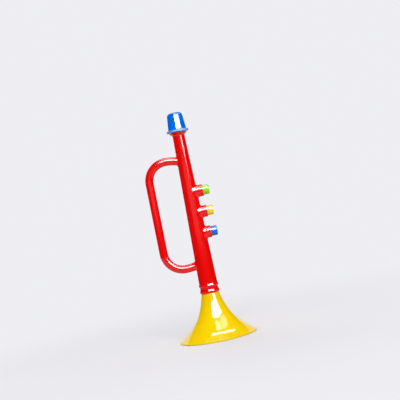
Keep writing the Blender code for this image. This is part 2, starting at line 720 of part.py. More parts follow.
def reed_holder_profile():
    """Section of the reed holder: shallot, flange and the plug that goes down the tube's bore."""
    plug_radius = BORE_TOP_RADIUS - FIT_GAP
    plug_bottom = REED_FLANGE_BOTTOM - REED_PLUG_DEPTH
    return [
        (0, SHALLOT_TOP),
        (SHALLOT_RADIUS, SHALLOT_TOP),
        (SHALLOT_RADIUS, REED_FLANGE_TOP),
        (SPIGOT_RADIUS, REED_FLANGE_TOP),
        (SPIGOT_RADIUS, REED_FLANGE_BOTTOM),
        (plug_radius, REED_FLANGE_BOTTOM),
        (plug_radius, plug_bottom),
        (plug_radius - REED_PLUG_WALL, plug_bottom),
        (plug_radius - REED_PLUG_WALL, REED_FLANGE_BOTTOM),
        (SHALLOT_BORE_RADIUS, REED_FLANGE_BOTTOM),
        (SHALLOT_BORE_RADIUS, SHALLOT_TOP - SHALLOT_TOP_THICKNESS),
        (0, SHALLOT_TOP - SHALLOT_TOP_THICKNESS),
    ]


def build_reed_unit(workshop):
    """Make the reed holder with its flat and slot, the tongue that lies on it and the clamp ring."""
    mesh = outline_mesh("reed_holder", reed_holder_profile(), False)
    holder = turn(workshop.add_part("reed_holder", mesh, workshop.cream), REED_SEGMENTS)
    holder.rotation_euler.z = math.pi / REED_SEGMENTS
    flat = block_mesh("shallot_flat", (-SHALLOT_RADIUS, -SHALLOT_RADIUS - OVERRUN, REED_FLANGE_TOP + FIT_GAP),
                      (SHALLOT_RADIUS, -SHALLOT_FLAT, SHALLOT_TOP + OVERRUN))
    boolean(holder, workshop.add_cutter("shallot_flat", flat), "DIFFERENCE")
    slot = block_mesh("reed_slot", (-REED_SLOT_WIDTH / 2, -SHALLOT_RADIUS - OVERRUN, CLAMP_TOP),
                      (REED_SLOT_WIDTH / 2, 0, SHALLOT_TOP - SHALLOT_TOP_THICKNESS))
    boolean(holder, workshop.add_cutter("reed_slot", slot), "DIFFERENCE")
    workshop.finish(holder)
    tongue = block_mesh("reed_tongue", (-REED_WIDTH / 2, -REED_OUTER_FACE, CLAMP_BOTTOM),
                        (REED_WIDTH / 2, -REED_INNER_FACE, SHALLOT_TOP - REED_TIP_MARGIN))
    workshop.add_part("reed_tongue", tongue, workshop.strip)
    ring_profile = [
        (CLAMP_INNER_RADIUS + CLAMP_WALL, CLAMP_TOP),
        (CLAMP_INNER_RADIUS + CLAMP_WALL, CLAMP_BOTTOM),
        (CLAMP_INNER_RADIUS, CLAMP_BOTTOM),
        (CLAMP_INNER_RADIUS, CLAMP_TOP),
    ]
    ring_mesh = outline_mesh("reed_clamp_ring", ring_profile, True)
    ring = workshop.add_part("reed_clamp_ring", ring_mesh, workshop.cream)
    workshop.finish(turn(ring, REED_SEGMENTS))


def button_profile():
    """Section of a push button: the cap, its skirt, the stem, the pad's neck and the stem's tip."""
    neck_outer = PAD_OUTER_REACH + FIT_GAP / 2
    neck_inner = PAD_INNER_REACH - FIT_GAP
    profile = [(0, BUTTON_REACH), (BUTTON_RADIUS - BUTTON_ROUND, BUTTON_REACH)]
    profile += rounded_corner(profile[-1], (BUTTON_RADIUS, BUTTON_REACH - BUTTON_ROUND), ROUND_STEPS, True)
    profile += [
        (BUTTON_RADIUS, SKIRT_REACH),
        (BUTTON_INNER_RADIUS, SKIRT_REACH),
        (BUTTON_INNER_RADIUS, BUTTON_UNDERSIDE),
        (STEM_RADIUS, BUTTON_UNDERSIDE),
        (STEM_RADIUS, neck_outer),
        (STEM_NECK_RADIUS, neck_outer),
        (STEM_NECK_RADIUS, neck_inner),
        (STEM_RADIUS, neck_inner),
        (STEM_NECK_RADIUS, neck_inner - STEM_TIP_LENGTH),
        (0, neck_inner - STEM_TIP_LENGTH),
    ]
    return profile


def pad_profile():
    """Section of a seal pad: a soft washer that is wider than the vent hole it closes."""
    outer = STEM_HOLE_RADIUS + PAD_LAP
    inner = STEM_NECK_RADIUS + FIT_GAP
    return [
        (outer, PAD_OUTER_REACH),
        (outer, PAD_INNER_REACH),
        (inner, PAD_INNER_REACH),
        (inner, PAD_OUTER_REACH),
    ]


def spring_points():
    """Centre line of a return spring, from the casing's floor to the underside of the cap."""
    radius = (STEM_HOLE_RADIUS + BUTTON_INNER_RADIUS) / 2
    start = FLOOR_REACH + FIT_GAP + SPRING_WIRE_RADIUS
    end = BUTTON_UNDERSIDE - FIT_GAP - SPRING_WIRE_RADIUS
    count = SPRING_TURNS * SPRING_POINTS_PER_TURN
    points = []
    for index in range(count + 1):
        angle = math.tau * index / SPRING_POINTS_PER_TURN
        height = start + (end - start) * index / count
        points.append(Vector((radius * math.cos(angle), radius * math.sin(angle), height)))
    return points


def least_self_gap(points, wire_radius):
    """Smallest free space between points of a wire that are at least half a turn apart."""
    apart = SPRING_POINTS_PER_TURN // 2
    distances = [(first - second).length
                 for index, first in enumerate(points)
                 for second in points[index + apart:]]
    return min(distances) - 2 * wire_radius


def build_valves(workshop, frames):
    """Make the button, the return spring and the seal pad of each valve."""
    cap_materials = {"green": workshop.green, "yellow": workshop.cap_yellow, "blue": workshop.blue}
    for name, frame in frames.items():
        button_name, pad_name, spring_name = (f"valve_{name}_{part}" for part in ("button", "pad", "spring"))
        button_mesh = outline_mesh(button_name, button_profile(), False)
        button = workshop.add_part(button_name, button_mesh, cap_materials[name], frame)
        workshop.finish(turn(button, BUTTON_SEGMENTS))
        pad = workshop.add_part(pad_name, outline_mesh(pad_name, pad_profile(), True), workshop.seal, frame)
        workshop.finish(turn(pad, PAD_SEGMENTS))
        points = spring_points()
        wire = wire_curve(spring_name, points, SPRING_WIRE_RADIUS, SPRING_WIRE_SIDES)
        workshop.add_part(spring_name, wire, workshop.steel, frame)
        print(f"{spring_name}: least gap to itself {least_self_gap(points, SPRING_WIRE_RADIUS):.5f} m")


def main():
    """Build the whole trumpet."""
    clear_scene()
    workshop = Workshop()
    frames = valve_frames(workshop)
    build_body_halves(workshop, frames)
    build_bell(workshop)
    build_mouthpiece(workshop)
    build_reed_unit(workshop)
    build_valves(workshop, frames)
    bpy.context.view_layer.update()


main()
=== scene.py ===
"""Fine surfaces, finishes and studio for a small plastic toy trumpet with three push valves.

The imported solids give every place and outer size. Each solid is replaced by a finer mesh of the same
piece, which moves with the same body. +Z runs up the tube, the handle loop is on the -X side, the valves
point to +X and the photograph looks along +Y. Meshes are made round the trumpet's own axis and moved to
it when they are placed. All lengths are in metres.
"""

import json
import logging
import math
from dataclasses import dataclass, field
from enum import Enum
from itertools import pairwise
from typing import Any, Callable, Mapping, NamedTuple, Sequence, TypeVar

import bmesh
import bpy
import numpy as np
from mathutils import Matrix, Vector

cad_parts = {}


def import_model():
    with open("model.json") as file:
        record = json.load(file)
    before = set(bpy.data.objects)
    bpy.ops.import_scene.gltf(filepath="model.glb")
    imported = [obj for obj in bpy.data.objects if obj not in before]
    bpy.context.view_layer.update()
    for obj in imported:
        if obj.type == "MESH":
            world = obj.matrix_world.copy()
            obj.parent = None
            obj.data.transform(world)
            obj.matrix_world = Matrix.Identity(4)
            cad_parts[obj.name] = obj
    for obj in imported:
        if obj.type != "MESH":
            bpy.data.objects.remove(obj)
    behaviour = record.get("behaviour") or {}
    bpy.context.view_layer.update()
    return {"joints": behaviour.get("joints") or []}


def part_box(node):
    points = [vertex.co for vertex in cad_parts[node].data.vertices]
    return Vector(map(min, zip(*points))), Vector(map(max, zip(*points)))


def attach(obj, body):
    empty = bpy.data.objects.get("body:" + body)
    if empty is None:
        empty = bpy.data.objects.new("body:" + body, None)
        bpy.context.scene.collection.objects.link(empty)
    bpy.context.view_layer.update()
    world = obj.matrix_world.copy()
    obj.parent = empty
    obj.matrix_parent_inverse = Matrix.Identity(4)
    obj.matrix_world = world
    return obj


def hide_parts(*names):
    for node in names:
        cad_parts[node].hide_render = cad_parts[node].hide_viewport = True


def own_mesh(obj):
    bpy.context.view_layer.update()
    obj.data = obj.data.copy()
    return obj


LOG = logging.getLogger("toy_trumpet")
MERGE_DISTANCE = 1e-7  # points closer than this become one
SHARP_ANGLE = math.radians(34)  # folds above this stay sharp
OVERRUN = 0.001  # how far a cutting solid reaches past what it cuts
FIT_GAP = 0.0003  # room between pieces that fit together

Point = tuple[float, float]
Rgb = tuple[float, float, float]
Rgba = tuple[float, float, float, float]
Length = TypeVar("Length", float, np.ndarray)


class Corner(NamedTuple):
    """A corner of a turned section, with the radius that rounds it."""

    radius: float
    height: float
    fillet: float = 0.0


class Skin(Enum):
    """Which moulding surface a face belongs to; the values are material slots."""

    OUTSIDE = 0
    INSIDE = 1


class Operation(Enum):
    """How one solid works on another."""

    JOIN = "UNION"
    CUT = "DIFFERENCE"
    KEEP = "INTERSECT"


class ValveTone(Enum):
    """The three valves, from the mouthpiece down, by the colour of their caps."""

    GREEN = "green"
    YELLOW = "yellow"
    BLUE = "blue"


class Measure(Enum):
    """What a painted change of light and shade on a moulding follows."""

    FROM_AXIS = "distance from the trumpet's axis"
    HEIGHT = "height above the bell's rim"


class LampUse(Enum):
    """What a lamp is for: light on surfaces, or its picture in the gloss."""

    LIGHT = "light"
    GLOSS = "gloss"


class LampShape(Enum):
    """The shape of a lamp's face."""

    OBLONG = "RECTANGLE"
    OVAL = "ELLIPSE"


# Shader values as Python expressions


def linear(colour: Rgb) -> Rgba:
    """Turn an sRGB colour into the linear one that a shader takes.

    Args:
        colour: Red, green and blue from 0 to 1.

    Returns:
        Linear red, green, blue and an alpha of 1.
    """
    channels = [value / 12.92 if value <= 0.04045 else ((value + 0.055) / 1.055) ** 2.4
                for value in colour]
    return (channels[0], channels[1], channels[2], 1.0)


def grey(level: float) -> Rgba:
    """Give a linear grey with an alpha of 1."""
    return (level, level, level, 1.0)


class Signal:
    """A node's output that works in Python expressions, each operator adding one Math node."""

    def __init__(self, graph: "NodeGraph", socket: bpy.types.NodeSocket | None) -> None:
        """Keep the output and the graph it belongs to."""
        self.graph = graph
        self.socket = socket

    def _maths(self, operation: str, first: "Operand", second: "Operand") -> "Signal":
        """Add a Math node on two operands."""
        return self.graph.node("ShaderNodeMath", {"operation": operation}, {0: first, 1: second})

    def __add__(self, other: "Operand") -> "Signal":
        """Give self + other."""
        return self._maths("ADD", self, other)

    def __radd__(self, other: "Operand") -> "Signal":
        """Give other + self."""
        return self._maths("ADD", other, self)

    def __sub__(self, other: "Operand") -> "Signal":
        """Give self - other."""
        return self._maths("SUBTRACT", self, other)

    def __rsub__(self, other: "Operand") -> "Signal":
        """Give other - self."""
        return self._maths("SUBTRACT", other, self)

    def __mul__(self, other: "Operand") -> "Signal":
        """Give self * other."""
        return self._maths("MULTIPLY", self, other)

    def __rmul__(self, other: "Operand") -> "Signal":
        """Give other * self."""
        return self._maths("MULTIPLY", other, self)

    def __pow__(self, other: "Operand") -> "Signal":
        """Give self to the power of other."""
        return self._maths("POWER", self, other)

    def __rpow__(self, other: "Operand") -> "Signal":
        """Give other to the power of self."""
        return self._maths("POWER", other, self)

    def clamped(self) -> "Signal":
        """Give self limited to the range from 0 to 1."""
        return self.graph.node("ShaderNodeClamp", None, {"Value": self})

    def between(self, low: float, high: float) -> "Signal":
        """Give 0 below low, 1 above high and a smooth rise between them.

        Args:
            low: Value at which the rise starts.
            high: Value at which it ends.

        Returns:
            The smooth share.
        """
        return self.graph.node("ShaderNodeMapRange", {"interpolation_type": "SMOOTHSTEP"},
                               {"Value": self, "From Min": low, "From Max": high})

    def swinging(self, middle: float, spread: float) -> "Signal":
        """Turn a noise into a value that swings about a middle.

        Args:
            middle: The value where the noise is at its average of 0.5.
            spread: How far it swings to either side.

        Returns:
            The swinging value.
        """
        return middle + (self - 0.5) * (2 * spread)


Operand = Signal | float


class NodeGraph:
    """The node tree of a material or a world, with the few calls that the finishes are written in."""

    def __init__(self, owner: bpy.types.Material | bpy.types.World) -> None:
        """Clear the owner's node tree.

        Args:
            owner: The material or world to fill.
        """
        owner.use_nodes = True
        self.tree = owner.node_tree
        self.tree.nodes.clear()

    @staticmethod
    def _find(sockets: Sequence[bpy.types.NodeSocket], key: int | str) -> bpy.types.NodeSocket:
        """Find a socket by its index, or an enabled one by its name.

        Args:
            sockets: A node's inputs or outputs.
            key: Index, name or identifier of the one to find.

        Returns:
            The socket.
        """
        if isinstance(key, int):
            return sockets[key]
        return next(socket for socket in sockets
                    if socket.enabled and key in (socket.name, socket.identifier))

    def node(self, kind: str, settings: Mapping[str, Any] | None = None,
             sockets: Mapping[int | str, Any] | None = None, output: int | str = 0) -> Signal:
        """Add a node, set it up and connect it.

        Args:
            kind: The node's type.
            settings: Properties such as a Math node's operation, which are set first.
            sockets: Numbers, colours or signals for its inputs, by index or name.
            output: The output to hand back, by index or name.

        Returns:
            That output, or an empty signal for a node without outputs.
        """
        made = self.tree.nodes.new(kind)
        for name, value in (settings or {}).items():
            setattr(made, name, value)
        for key, value in (sockets or {}).items():
            socket = self._find(made.inputs, key)
            if isinstance(value, Signal):
                self.tree.links.new(value.socket, socket)
            else:
                socket.default_value = value
        return Signal(self, self._find(made.outputs, output) if made.outputs else None)

    def seen(self) -> Signal:
        """Tell the rays that show a surface from those that only carry light.

        Returns:
            1 for rays from the camera and through gloss or glass, 0 for all others.
        """
        rays = [self.node("ShaderNodeLightPath", output=name)
                for name in ("Is Camera Ray", "Is Glossy Ray", "Is Transmission Ray")]
        return (rays[0] + rays[1] + rays[2]).clamped()

    def place(self) -> Signal:
        """Give the place on the piece, in metres in the trumpet's frame."""
        return self.node("ShaderNodeTexCoord", output="Object")

    def axes(self, place: Signal) -> tuple[Signal, Signal, Signal]:
        """Part a place into x, y and z.

        Args:
            place: The place to part.

        Returns:
            One signal for each axis.
        """
        return tuple(self.node("ShaderNodeSeparateXYZ", None, {0: place}, axis) for axis in "XYZ")

    def stretched(self, place: Signal, scale: Rgb) -> Signal:
        """Scale a place along each axis, so that a texture on it is drawn out.

        Args:
            place: The place to scale.
            scale: Factor for each axis.

        Returns:
            The scaled place.
        """
        return self.node("ShaderNodeVectorMath", {"operation": "MULTIPLY"}, {0: place, 1: scale})

    def noise(self, place: Signal, size: float, detail: float = 2.0, roughness: float = 0.5) -> Signal:
        """Add a noise texture.

        Args:
            place: Where it is read.
            size: Size of its clouds, in metres.
            detail: Octaves of finer clouds.
            roughness: Strength of the finer clouds.

        Returns:
            The noise, about 0.5 on average.
        """
        return self.node("ShaderNodeTexNoise", None,
                         {"Vector": place, "Scale": 1 / size, "Detail": detail, "Roughness": roughness})

    def mixed(self, share: Operand, first: Any, second: Any) -> Signal:
        """Mix two colours.

        Args:
            share: Share of the second colour.
            first: Colour or signal at share 0.
            second: Colour or signal at share 1.

        Returns:
            The mixed colour.
        """
        return self.node("ShaderNodeMix", {"data_type": "RGBA"},
                         {"Factor": share, "A": first, "B": second}, "Result")

    def bump(self, height: Operand, depth: float, normal: Signal | None = None) -> Signal:
        """Bend the normal by a height.

        Args:
            height: Height from 0 to 1.
            depth: What a height of 1 is in metres.
            normal: A normal that is bent already.

        Returns:
            The bent normal.
        """
        sockets: dict[int | str, Any] = {"Height": height, "Distance": depth, "Strength": 1.0}
        if normal is not None:
            sockets["Normal"] = normal
        return self.node("ShaderNodeBump", None, sockets)

    def surface(self, sockets: Mapping[int | str, Any]) -> None:
        """End the graph in a Principled shader.

        Args:
            sockets: Values and signals for the shader's inputs.
        """
        shader = self.node("ShaderNodeBsdfPrincipled", None, sockets)
        self.node("ShaderNodeOutputMaterial", None, {"Surface": shader})


# Finishes


@dataclass(frozen=True)
class PaintedLightShift:
    """A stretch of a moulding painted lighter or darker in place of light and shade, such as painted
    shade on the bell's upper flare and a flange rim painted paler for light through its thin plastic.
    """

    measure: Measure
    low: float
    high: float
    colour: Rgb
    share: float
    dulling: float = 0.0

    def amount(self, graph: NodeGraph, place: Signal, axis_x: float) -> Signal:
        """Find how far the painted change of light and shade has gone.

        Args:
            graph: Graph to add nodes to.
            place: Place on the piece.
            axis_x: Where the trumpet's axis is.

        Returns:
            0 below the low end and 1 above the high one.
        """
        x, y, z = graph.axes(place)
        reach = ((x - axis_x) ** 2 + y ** 2) ** 0.5 if self.measure is Measure.FROM_AXIS else z
        return reach.between(self.low, self.high)


@dataclass(frozen=True)
class MouldedPlastic:
    """Glossy moulded plastic: the pigment drifts a little, the skin waves and has a fine grain, and some
    stretches are painted lighter or darker for light and shade.
    """

    name: str
    colour: Rgb
    deep_colour: Rgb
    roughness: float = 0.13
    roughness_spread: float = 0.06
    specular: float = 0.5
    cloud_size: float = 0.010
    cloud_low: float = 0.38
    cloud_high: float = 0.68
    rub_size: float = 0.0025
    ior: float = 1.5
    flow_stretch: Rgb = (1.0, 1.0, 0.35)
    ripple_size: float = 0.006
    ripple_depth: float = 0.000008
    grain_size: float = 0.0007
    grain_depth: float = 0.0000015
    tones: tuple[PaintedLightShift, ...] = ()

    def make(self, axis_x: float) -> bpy.types.Material:
        """Make the material.

        Args:
            axis_x: Where the trumpet's axis is, for the tones.

        Returns:
            The finished material.
        """
        material = bpy.data.materials.new(self.name)
        graph = NodeGraph(material)
        place = graph.place()
        flow = graph.stretched(place, self.flow_stretch)
        clouds = graph.noise(flow, self.cloud_size, detail=3.0, roughness=0.6)
        colour = graph.mixed(clouds.between(self.cloud_low, self.cloud_high),
                             linear(self.colour), linear(self.deep_colour))
        rubbed = graph.noise(place, self.rub_size, detail=4.0, roughness=0.7)
        roughness = rubbed.swinging(self.roughness, self.roughness_spread)
        # Painted light and shade: each shift mixes a lighter or darker colour over one stretch of the
        # moulding.
        for tone in self.tones:
            amount = tone.amount(graph, place, axis_x)
            colour = graph.mixed(amount * tone.share, colour, linear(tone.colour))
            roughness = roughness + amount * tone.dulling
        ripple = graph.bump(graph.noise(flow, self.ripple_size, detail=1.0), self.ripple_depth)
        normal = graph.bump(graph.noise(place, self.grain_size, detail=2.0), self.grain_depth, ripple)
        graph.surface({"Base Color": colour, "Roughness": roughness, "Normal": normal,
                       "Specular IOR Level": self.specular, "IOR": self.ior})
        return material


@dataclass(frozen=True)
class SoftRubber:
    """Dark soft rubber with a matt, faintly dusty skin."""

    name: str
    colour: Rgb
    dust_colour: Rgb
    roughness: float = 0.72
    roughness_spread: float = 0.1
    speck_size: float = 0.0004
    speck_depth: float = 0.00001
    dust_low: float = 0.5
    dust_high: float = 0.75
    dust_share: float = 0.5

    def make(self) -> bpy.types.Material:
        """Make the material.

        Returns:
            The finished material.
        """
        material = bpy.data.materials.new(self.name)
        graph = NodeGraph(material)
        specks = graph.noise(graph.place(), self.speck_size, detail=4.0, roughness=0.7)
        dust = specks.between(self.dust_low, self.dust_high) * self.dust_share
        graph.surface({
            "Base Color": graph.mixed(dust, linear(self.colour), linear(self.dust_colour)),
            "Roughness": specks.swinging(self.roughness, self.roughness_spread),
            "Normal": graph.bump(specks, self.speck_depth),
        })
        return material


@dataclass(frozen=True)
class DrawnWire:
    """Spring wire: bright metal with fine drawing marks and a little oil."""

    name: str
    colour: Rgb
    oiled_colour: Rgb
    roughness: float = 0.28
    roughness_spread: float = 0.125
    mark_size: float = 0.0003
    mark_stretch: Rgb = (4.0, 1.0, 1.0)
    mark_depth: float = 0.000005
    film_size: float = 0.0024
    film_low: float = 0.45
    film_high: float = 0.65

    def make(self) -> bpy.types.Material:
        """Make the material.

        Returns:
            The finished material.
        """
        material = bpy.data.materials.new(self.name)
        graph = NodeGraph(material)
        place = graph.place()
        marks = graph.noise(graph.stretched(place, self.mark_stretch), self.mark_size, detail=3.0)
        film = graph.noise(place, self.film_size, detail=2.0).between(self.film_low, self.film_high)
        graph.surface({
            "Base Color": graph.mixed(film, linear(self.colour), linear(self.oiled_colour)),
            "Metallic": 1.0,
            "Roughness": marks.swinging(self.roughness, self.roughness_spread),
            "Normal": graph.bump(marks, self.mark_depth),
        })
        return material


@dataclass(frozen=True)
class PaintedFloor:
    """The pale studio floor, in the backdrop's colour, which it runs out into.

    It throws less light on the trumpet than it shows.
    """

    name: str
    colour: Rgb
    shade: Rgb
    cloud_size: float = 0.35
    cloud_low: float = 0.3
    cloud_high: float = 0.7
    bounce: float = 0.45
    fade_start: float = 0.08
    fade_end: float = 0.36
    roughness: float = 0.75

    def make(self) -> bpy.types.Material:
        """Make the material.

        Returns:
            The finished material.
        """
        material = bpy.data.materials.new(self.name)
        graph = NodeGraph(material)
        place = graph.place()
        clouds = graph.noise(place, self.cloud_size, detail=3.0).between(self.cloud_low, self.cloud_high)
        painted = graph.mixed(clouds, linear(self.colour), linear(self.shade))
        black, seen = grey(0.0), graph.seen()
        away = graph.node("ShaderNodeVectorMath", {"operation": "LENGTH"}, {0: place}, "Value")
        faded = away.between(self.fade_start, self.fade_end) * seen
        graph.surface({
            "Base Color": graph.mixed(faded, graph.mixed(seen, grey(self.bounce), painted), black),
            "Emission Color": graph.mixed(faded, black, linear(self.colour)),
            "Emission Strength": 1.0,
            "Roughness": self.roughness,
            "Specular IOR Level": 0.0,
        })
        return material


@dataclass(frozen=True)
class DarkCloth:
    """The cloth of the hood that keeps the studio's front out of the gloss."""

    name: str
    colour: Rgb
    fold_colour: Rgb
    fold_size: float = 0.2
    fold_stretch: Rgb = (1.0, 1.0, 0.1)
    roughness: float = 0.95
    specular: float = 0.05

    def make(self) -> bpy.types.Material:
        """Make the material.

        Returns:
            The finished material.
        """
        material = bpy.data.materials.new(self.name)
        graph = NodeGraph(material)
        drawn_out = graph.stretched(graph.place(), self.fold_stretch)
        folds = graph.noise(drawn_out, self.fold_size, detail=2.0)
        graph.surface({
            "Base Color": graph.mixed(folds, linear(self.colour), linear(self.fold_colour)),
            "Roughness": self.roughness,
            "Specular IOR Level": self.specular,
        })
        return material


# Sections, turned and swept meshes, and what works on them


def rounded_section(corners: Sequence[Corner], closed: bool = False, steps: int = 6) -> list[Point]:
    """Round the corners of a section.

    Args:
        corners: The section's corners, in order.
        closed: True if the last corner runs on to the first.
        steps: Straight pieces in each arc.

    Returns:
        The section's points, as radius and height.
    """
    places = [Vector((corner.radius, corner.height)) for corner in corners]
    count = len(corners)
    reaches = [0.0] * count
    for index, corner in enumerate(corners):
        if corner.fillet > 0 and (closed or 0 < index < count - 1):
            before = places[index - 1] - places[index]
            after = places[(index + 1) % count] - places[index]
            reaches[index] = corner.fillet / math.tan(before.angle(after) / 2)
    spare: list[float] = []
    for index, place in enumerate(places):
        following = (index + 1) % count
        taken = max(reaches[index] + reaches[following], MERGE_DISTANCE)
        spare.append((places[following] - place).length / taken)
    points: list[Point] = []
    for index, here in enumerate(places):
        if reaches[index] == 0:
            points.append((here.x, here.y))
            continue
        reach = reaches[index] * min(1.0, spare[index - 1], spare[index])
        before = (places[index - 1] - here).normalized()
        after = (places[(index + 1) % count] - here).normalized()
        centre = here + (before + after).normalized() * (reach / math.cos(before.angle(after) / 2))
        start = here + before * reach - centre
        end = here + after * reach - centre
        turn = start.angle(end)
        for step in range(steps + 1):
            early = math.sin(turn * (1 - step / steps)) / math.sin(turn)
            late = math.sin(turn * step / steps) / math.sin(turn)
            point = centre + start * early + end * late
            points.append((point.x, point.y))
    return points


def divided(points: Sequence[Point], longest: float) -> list[Point]:
    """Add points to a section so that no straight piece is longer than a length.

    Args:
        points: The section's points.
        longest: The length that no piece passes.

    Returns:
        The points with the added ones.
    """
    result = [points[0]]
    for start, end in pairwise(points):
        count = max(1, math.ceil(math.dist(start, end) / longest))
        for step in range(1, count + 1):
            share = step / count
            result.append((start[0] + share * (end[0] - start[0]),
                           start[1] + share * (end[1] - start[1])))
    return result


def even_angles(count: int) -> list[float]:
    """Give that many angles, evenly round a full turn."""
    return [math.tau * index / count for index in range(count)]


def half_step_angles(count: int) -> list[float]:
    """Give even angles that start half a step round, so that none lies in the seam."""
    return [angle + math.pi / count for angle in even_angles(count)]


def grid_mesh(name: str, rings: Sequence[Sequence[Vector]], capped: bool,
              looped: bool) -> bpy.types.Mesh:
    """Join rings of points into one closed mesh.

    Args:
        name: Name of the mesh.
        rings: Rings with the same number of points each.
        capped: True to close the first and the last ring with a face.
        looped: True if the last ring runs on to the first.

    Returns:
        The mesh, with its doubled points merged and its faces pointing out.
    """
    width = len(rings[0])
    faces: list[list[int]] = []
    pairs = list(pairwise(range(len(rings)))) + ([(len(rings) - 1, 0)] if looped else [])
    for lower, upper in pairs:
        for index in range(width):
            following = (index + 1) % width
            faces.append([lower * width + index, lower * width + following,
                          upper * width + following, upper * width + index])
    if capped:
        faces.append(list(range(width)))
        faces.append([(len(rings) - 1) * width + index for index in range(width)])
    mesh = bpy.data.meshes.new(name)
    mesh.from_pydata([tuple(point) for ring in rings for point in ring], [], faces)
    shape = bmesh.new()
    shape.from_mesh(mesh)
    bmesh.ops.remove_doubles(shape, verts=shape.verts, dist=MERGE_DISTANCE)
    bmesh.ops.recalc_face_normals(shape, faces=shape.faces)
    shape.to_mesh(mesh)
    shape.free()
    return mesh


def turned(name: str, section: Sequence[Point], angles: Sequence[float], closed: bool) -> bpy.types.Mesh:
    """Turn a section about the Z axis.

    Args:
        name: Name of the mesh.
        section: Points as radius and height.
        angles: Where round the axis the section stands.
        closed: True for a ring's section, False for one that starts and ends on the axis.

    Returns:
        The turned mesh.
    """
    rings = [[Vector((radius * math.cos(angle), radius * math.sin(angle), height)) for angle in angles]
             for radius, height in section]
    return grid_mesh(name, rings, capped=False, looped=closed)


def swept(name: str, path: Sequence[Vector], sides: Sequence[Vector], radius: float,
          angles: Sequence[float]) -> bpy.types.Mesh:
    """Sweep a circle along a path.

    Args:
        name: Name of the mesh.
        path: Points of the centre line.
        sides: For each point, a direction across the path, in which angle 0 lies.
        radius: Radius of the circle.
        angles: Where round the circle its points are.

    Returns:
        The tube, with flat ends.
    """
    rings = []
    last = len(path) - 1
    for index, (centre, side) in enumerate(zip(path, sides)):
        along = (path[min(index + 1, last)] - path[max(index - 1, 0)]).normalized()
        across = (side - along * side.dot(along)).normalized()
        other = along.cross(across)
        rings.append([centre + radius * (math.cos(angle) * across + math.sin(angle) * other)
                      for angle in angles])
    return grid_mesh(name, rings, capped=True, looped=False)


def block(name: str, low: Vector, high: Vector) -> bpy.types.Mesh:
    """Make a block that cuts other pieces.

    Args:
        name: Name of the mesh.
        low: Lowest corner.
        high: Highest corner.

    Returns:
        The block.
    """
    corners = ((low.x, low.y), (high.x, low.y), (high.x, high.y), (low.x, high.y))
    rings = [[Vector((x, y, z)) for x, y in corners] for z in (low.z, high.z)]
    return grid_mesh(name, rings, capped=True, looped=False)


def merged(name: str, meshes: Sequence[bpy.types.Mesh]) -> bpy.types.Mesh:
    """Put several meshes that don't touch into one.

    Args:
        name: Name of the new mesh.
        meshes: The meshes to put together.

    Returns:
        The mesh that holds them all.
    """
    shape = bmesh.new()
    for mesh in meshes:
        shape.from_mesh(mesh)
    result = bpy.data.meshes.new(name)
    shape.to_mesh(result)
    shape.free()
    return result


def moved(mesh: bpy.types.Mesh, matrix: Matrix) -> bpy.types.Mesh:
    """Transform a mesh and hand it back."""
    mesh.transform(matrix)
    return mesh


def tagged(mesh: bpy.types.Mesh, skin: Skin) -> bpy.types.Mesh:
    """Mark all faces of a mesh as one skin.

    Args:
        mesh: The mesh to mark.
        skin: The skin its faces belong to.

    Returns:
        The same mesh.
    """
    mesh.materials.clear()
    for layer in Skin:
        name = layer.name.lower()
        mesh.materials.append(bpy.data.materials.get(name) or bpy.data.materials.new(name))
    mesh.polygons.foreach_set("material_index", [skin.value] * len(mesh.polygons))
    return mesh


def in_scene(name: str, data: bpy.types.ID) -> bpy.types.Object:
    """Make an object and put it in the scene.

    Args:
        name: Name of the object.
        data: Its mesh, light or camera.

    Returns:
        The object.
    """
    item = bpy.data.objects.new(name, data)
    bpy.context.scene.collection.objects.link(item)
    return item


def combined(base: bpy.types.Mesh, tool: bpy.types.Mesh, operation: Operation) -> bpy.types.Mesh:
    """Join, cut or intersect one solid with another.

    Args:
        base: The solid that is worked on.
        tool: The solid that works on it.
        operation: What it does.

    Returns:
        The new solid, whose faces keep their skins.
    """
    pair = [in_scene(mesh.name + "_work", mesh) for mesh in (base, tool)]
    modifier = pair[0].modifiers.new("Combine", "BOOLEAN")
    modifier.operation = operation.value
    modifier.object = pair[1]
    bpy.context.view_layer.update()
    evaluated = pair[0].evaluated_get(bpy.context.evaluated_depsgraph_get())
    result = bpy.data.meshes.new_from_object(evaluated)
    result.name = base.name
    for item in pair:
        bpy.data.objects.remove(item)
    shape = bmesh.new()
    shape.from_mesh(result)
    bmesh.ops.remove_doubles(shape, verts=shape.verts, dist=MERGE_DISTANCE)
    bmesh.ops.dissolve_degenerate(shape, edges=shape.edges, dist=MERGE_DISTANCE)
    shape.to_mesh(result)
    shape.free()
    return result


def shaded(mesh: bpy.types.Mesh) -> bpy.types.Mesh:
    """Shade a mesh smooth, with its real edges sharp, and part its faces of many corners.

    Args:
        mesh: The mesh to shade.

    Returns:
        The same mesh.
    """
    shape = bmesh.new()
    shape.from_mesh(mesh)
    bmesh.ops.triangulate(shape, faces=[face for face in shape.faces if len(face.verts) > 4])
    shape.to_mesh(mesh)
    shape.free()
    mesh.shade_smooth()
    mesh.set_sharp_from_angle(angle=SHARP_ANGLE)
    return mesh


def read_points(mesh: bpy.types.Mesh) -> np.ndarray:
    """Read a mesh's vertices.

    Args:
        mesh: The mesh to read.

    Returns:
        One row of x, y and z for each vertex.
    """
    values = np.zeros(len(mesh.vertices) * 3)
    mesh.vertices.foreach_get("co", values)
    return values.reshape(-1, 3)


def write_points(mesh: bpy.types.Mesh, points: np.ndarray) -> None:
    """Write a mesh's vertices back from rows of x, y and z."""
    mesh.vertices.foreach_set("co", points.ravel())
    mesh.update()


# The pieces


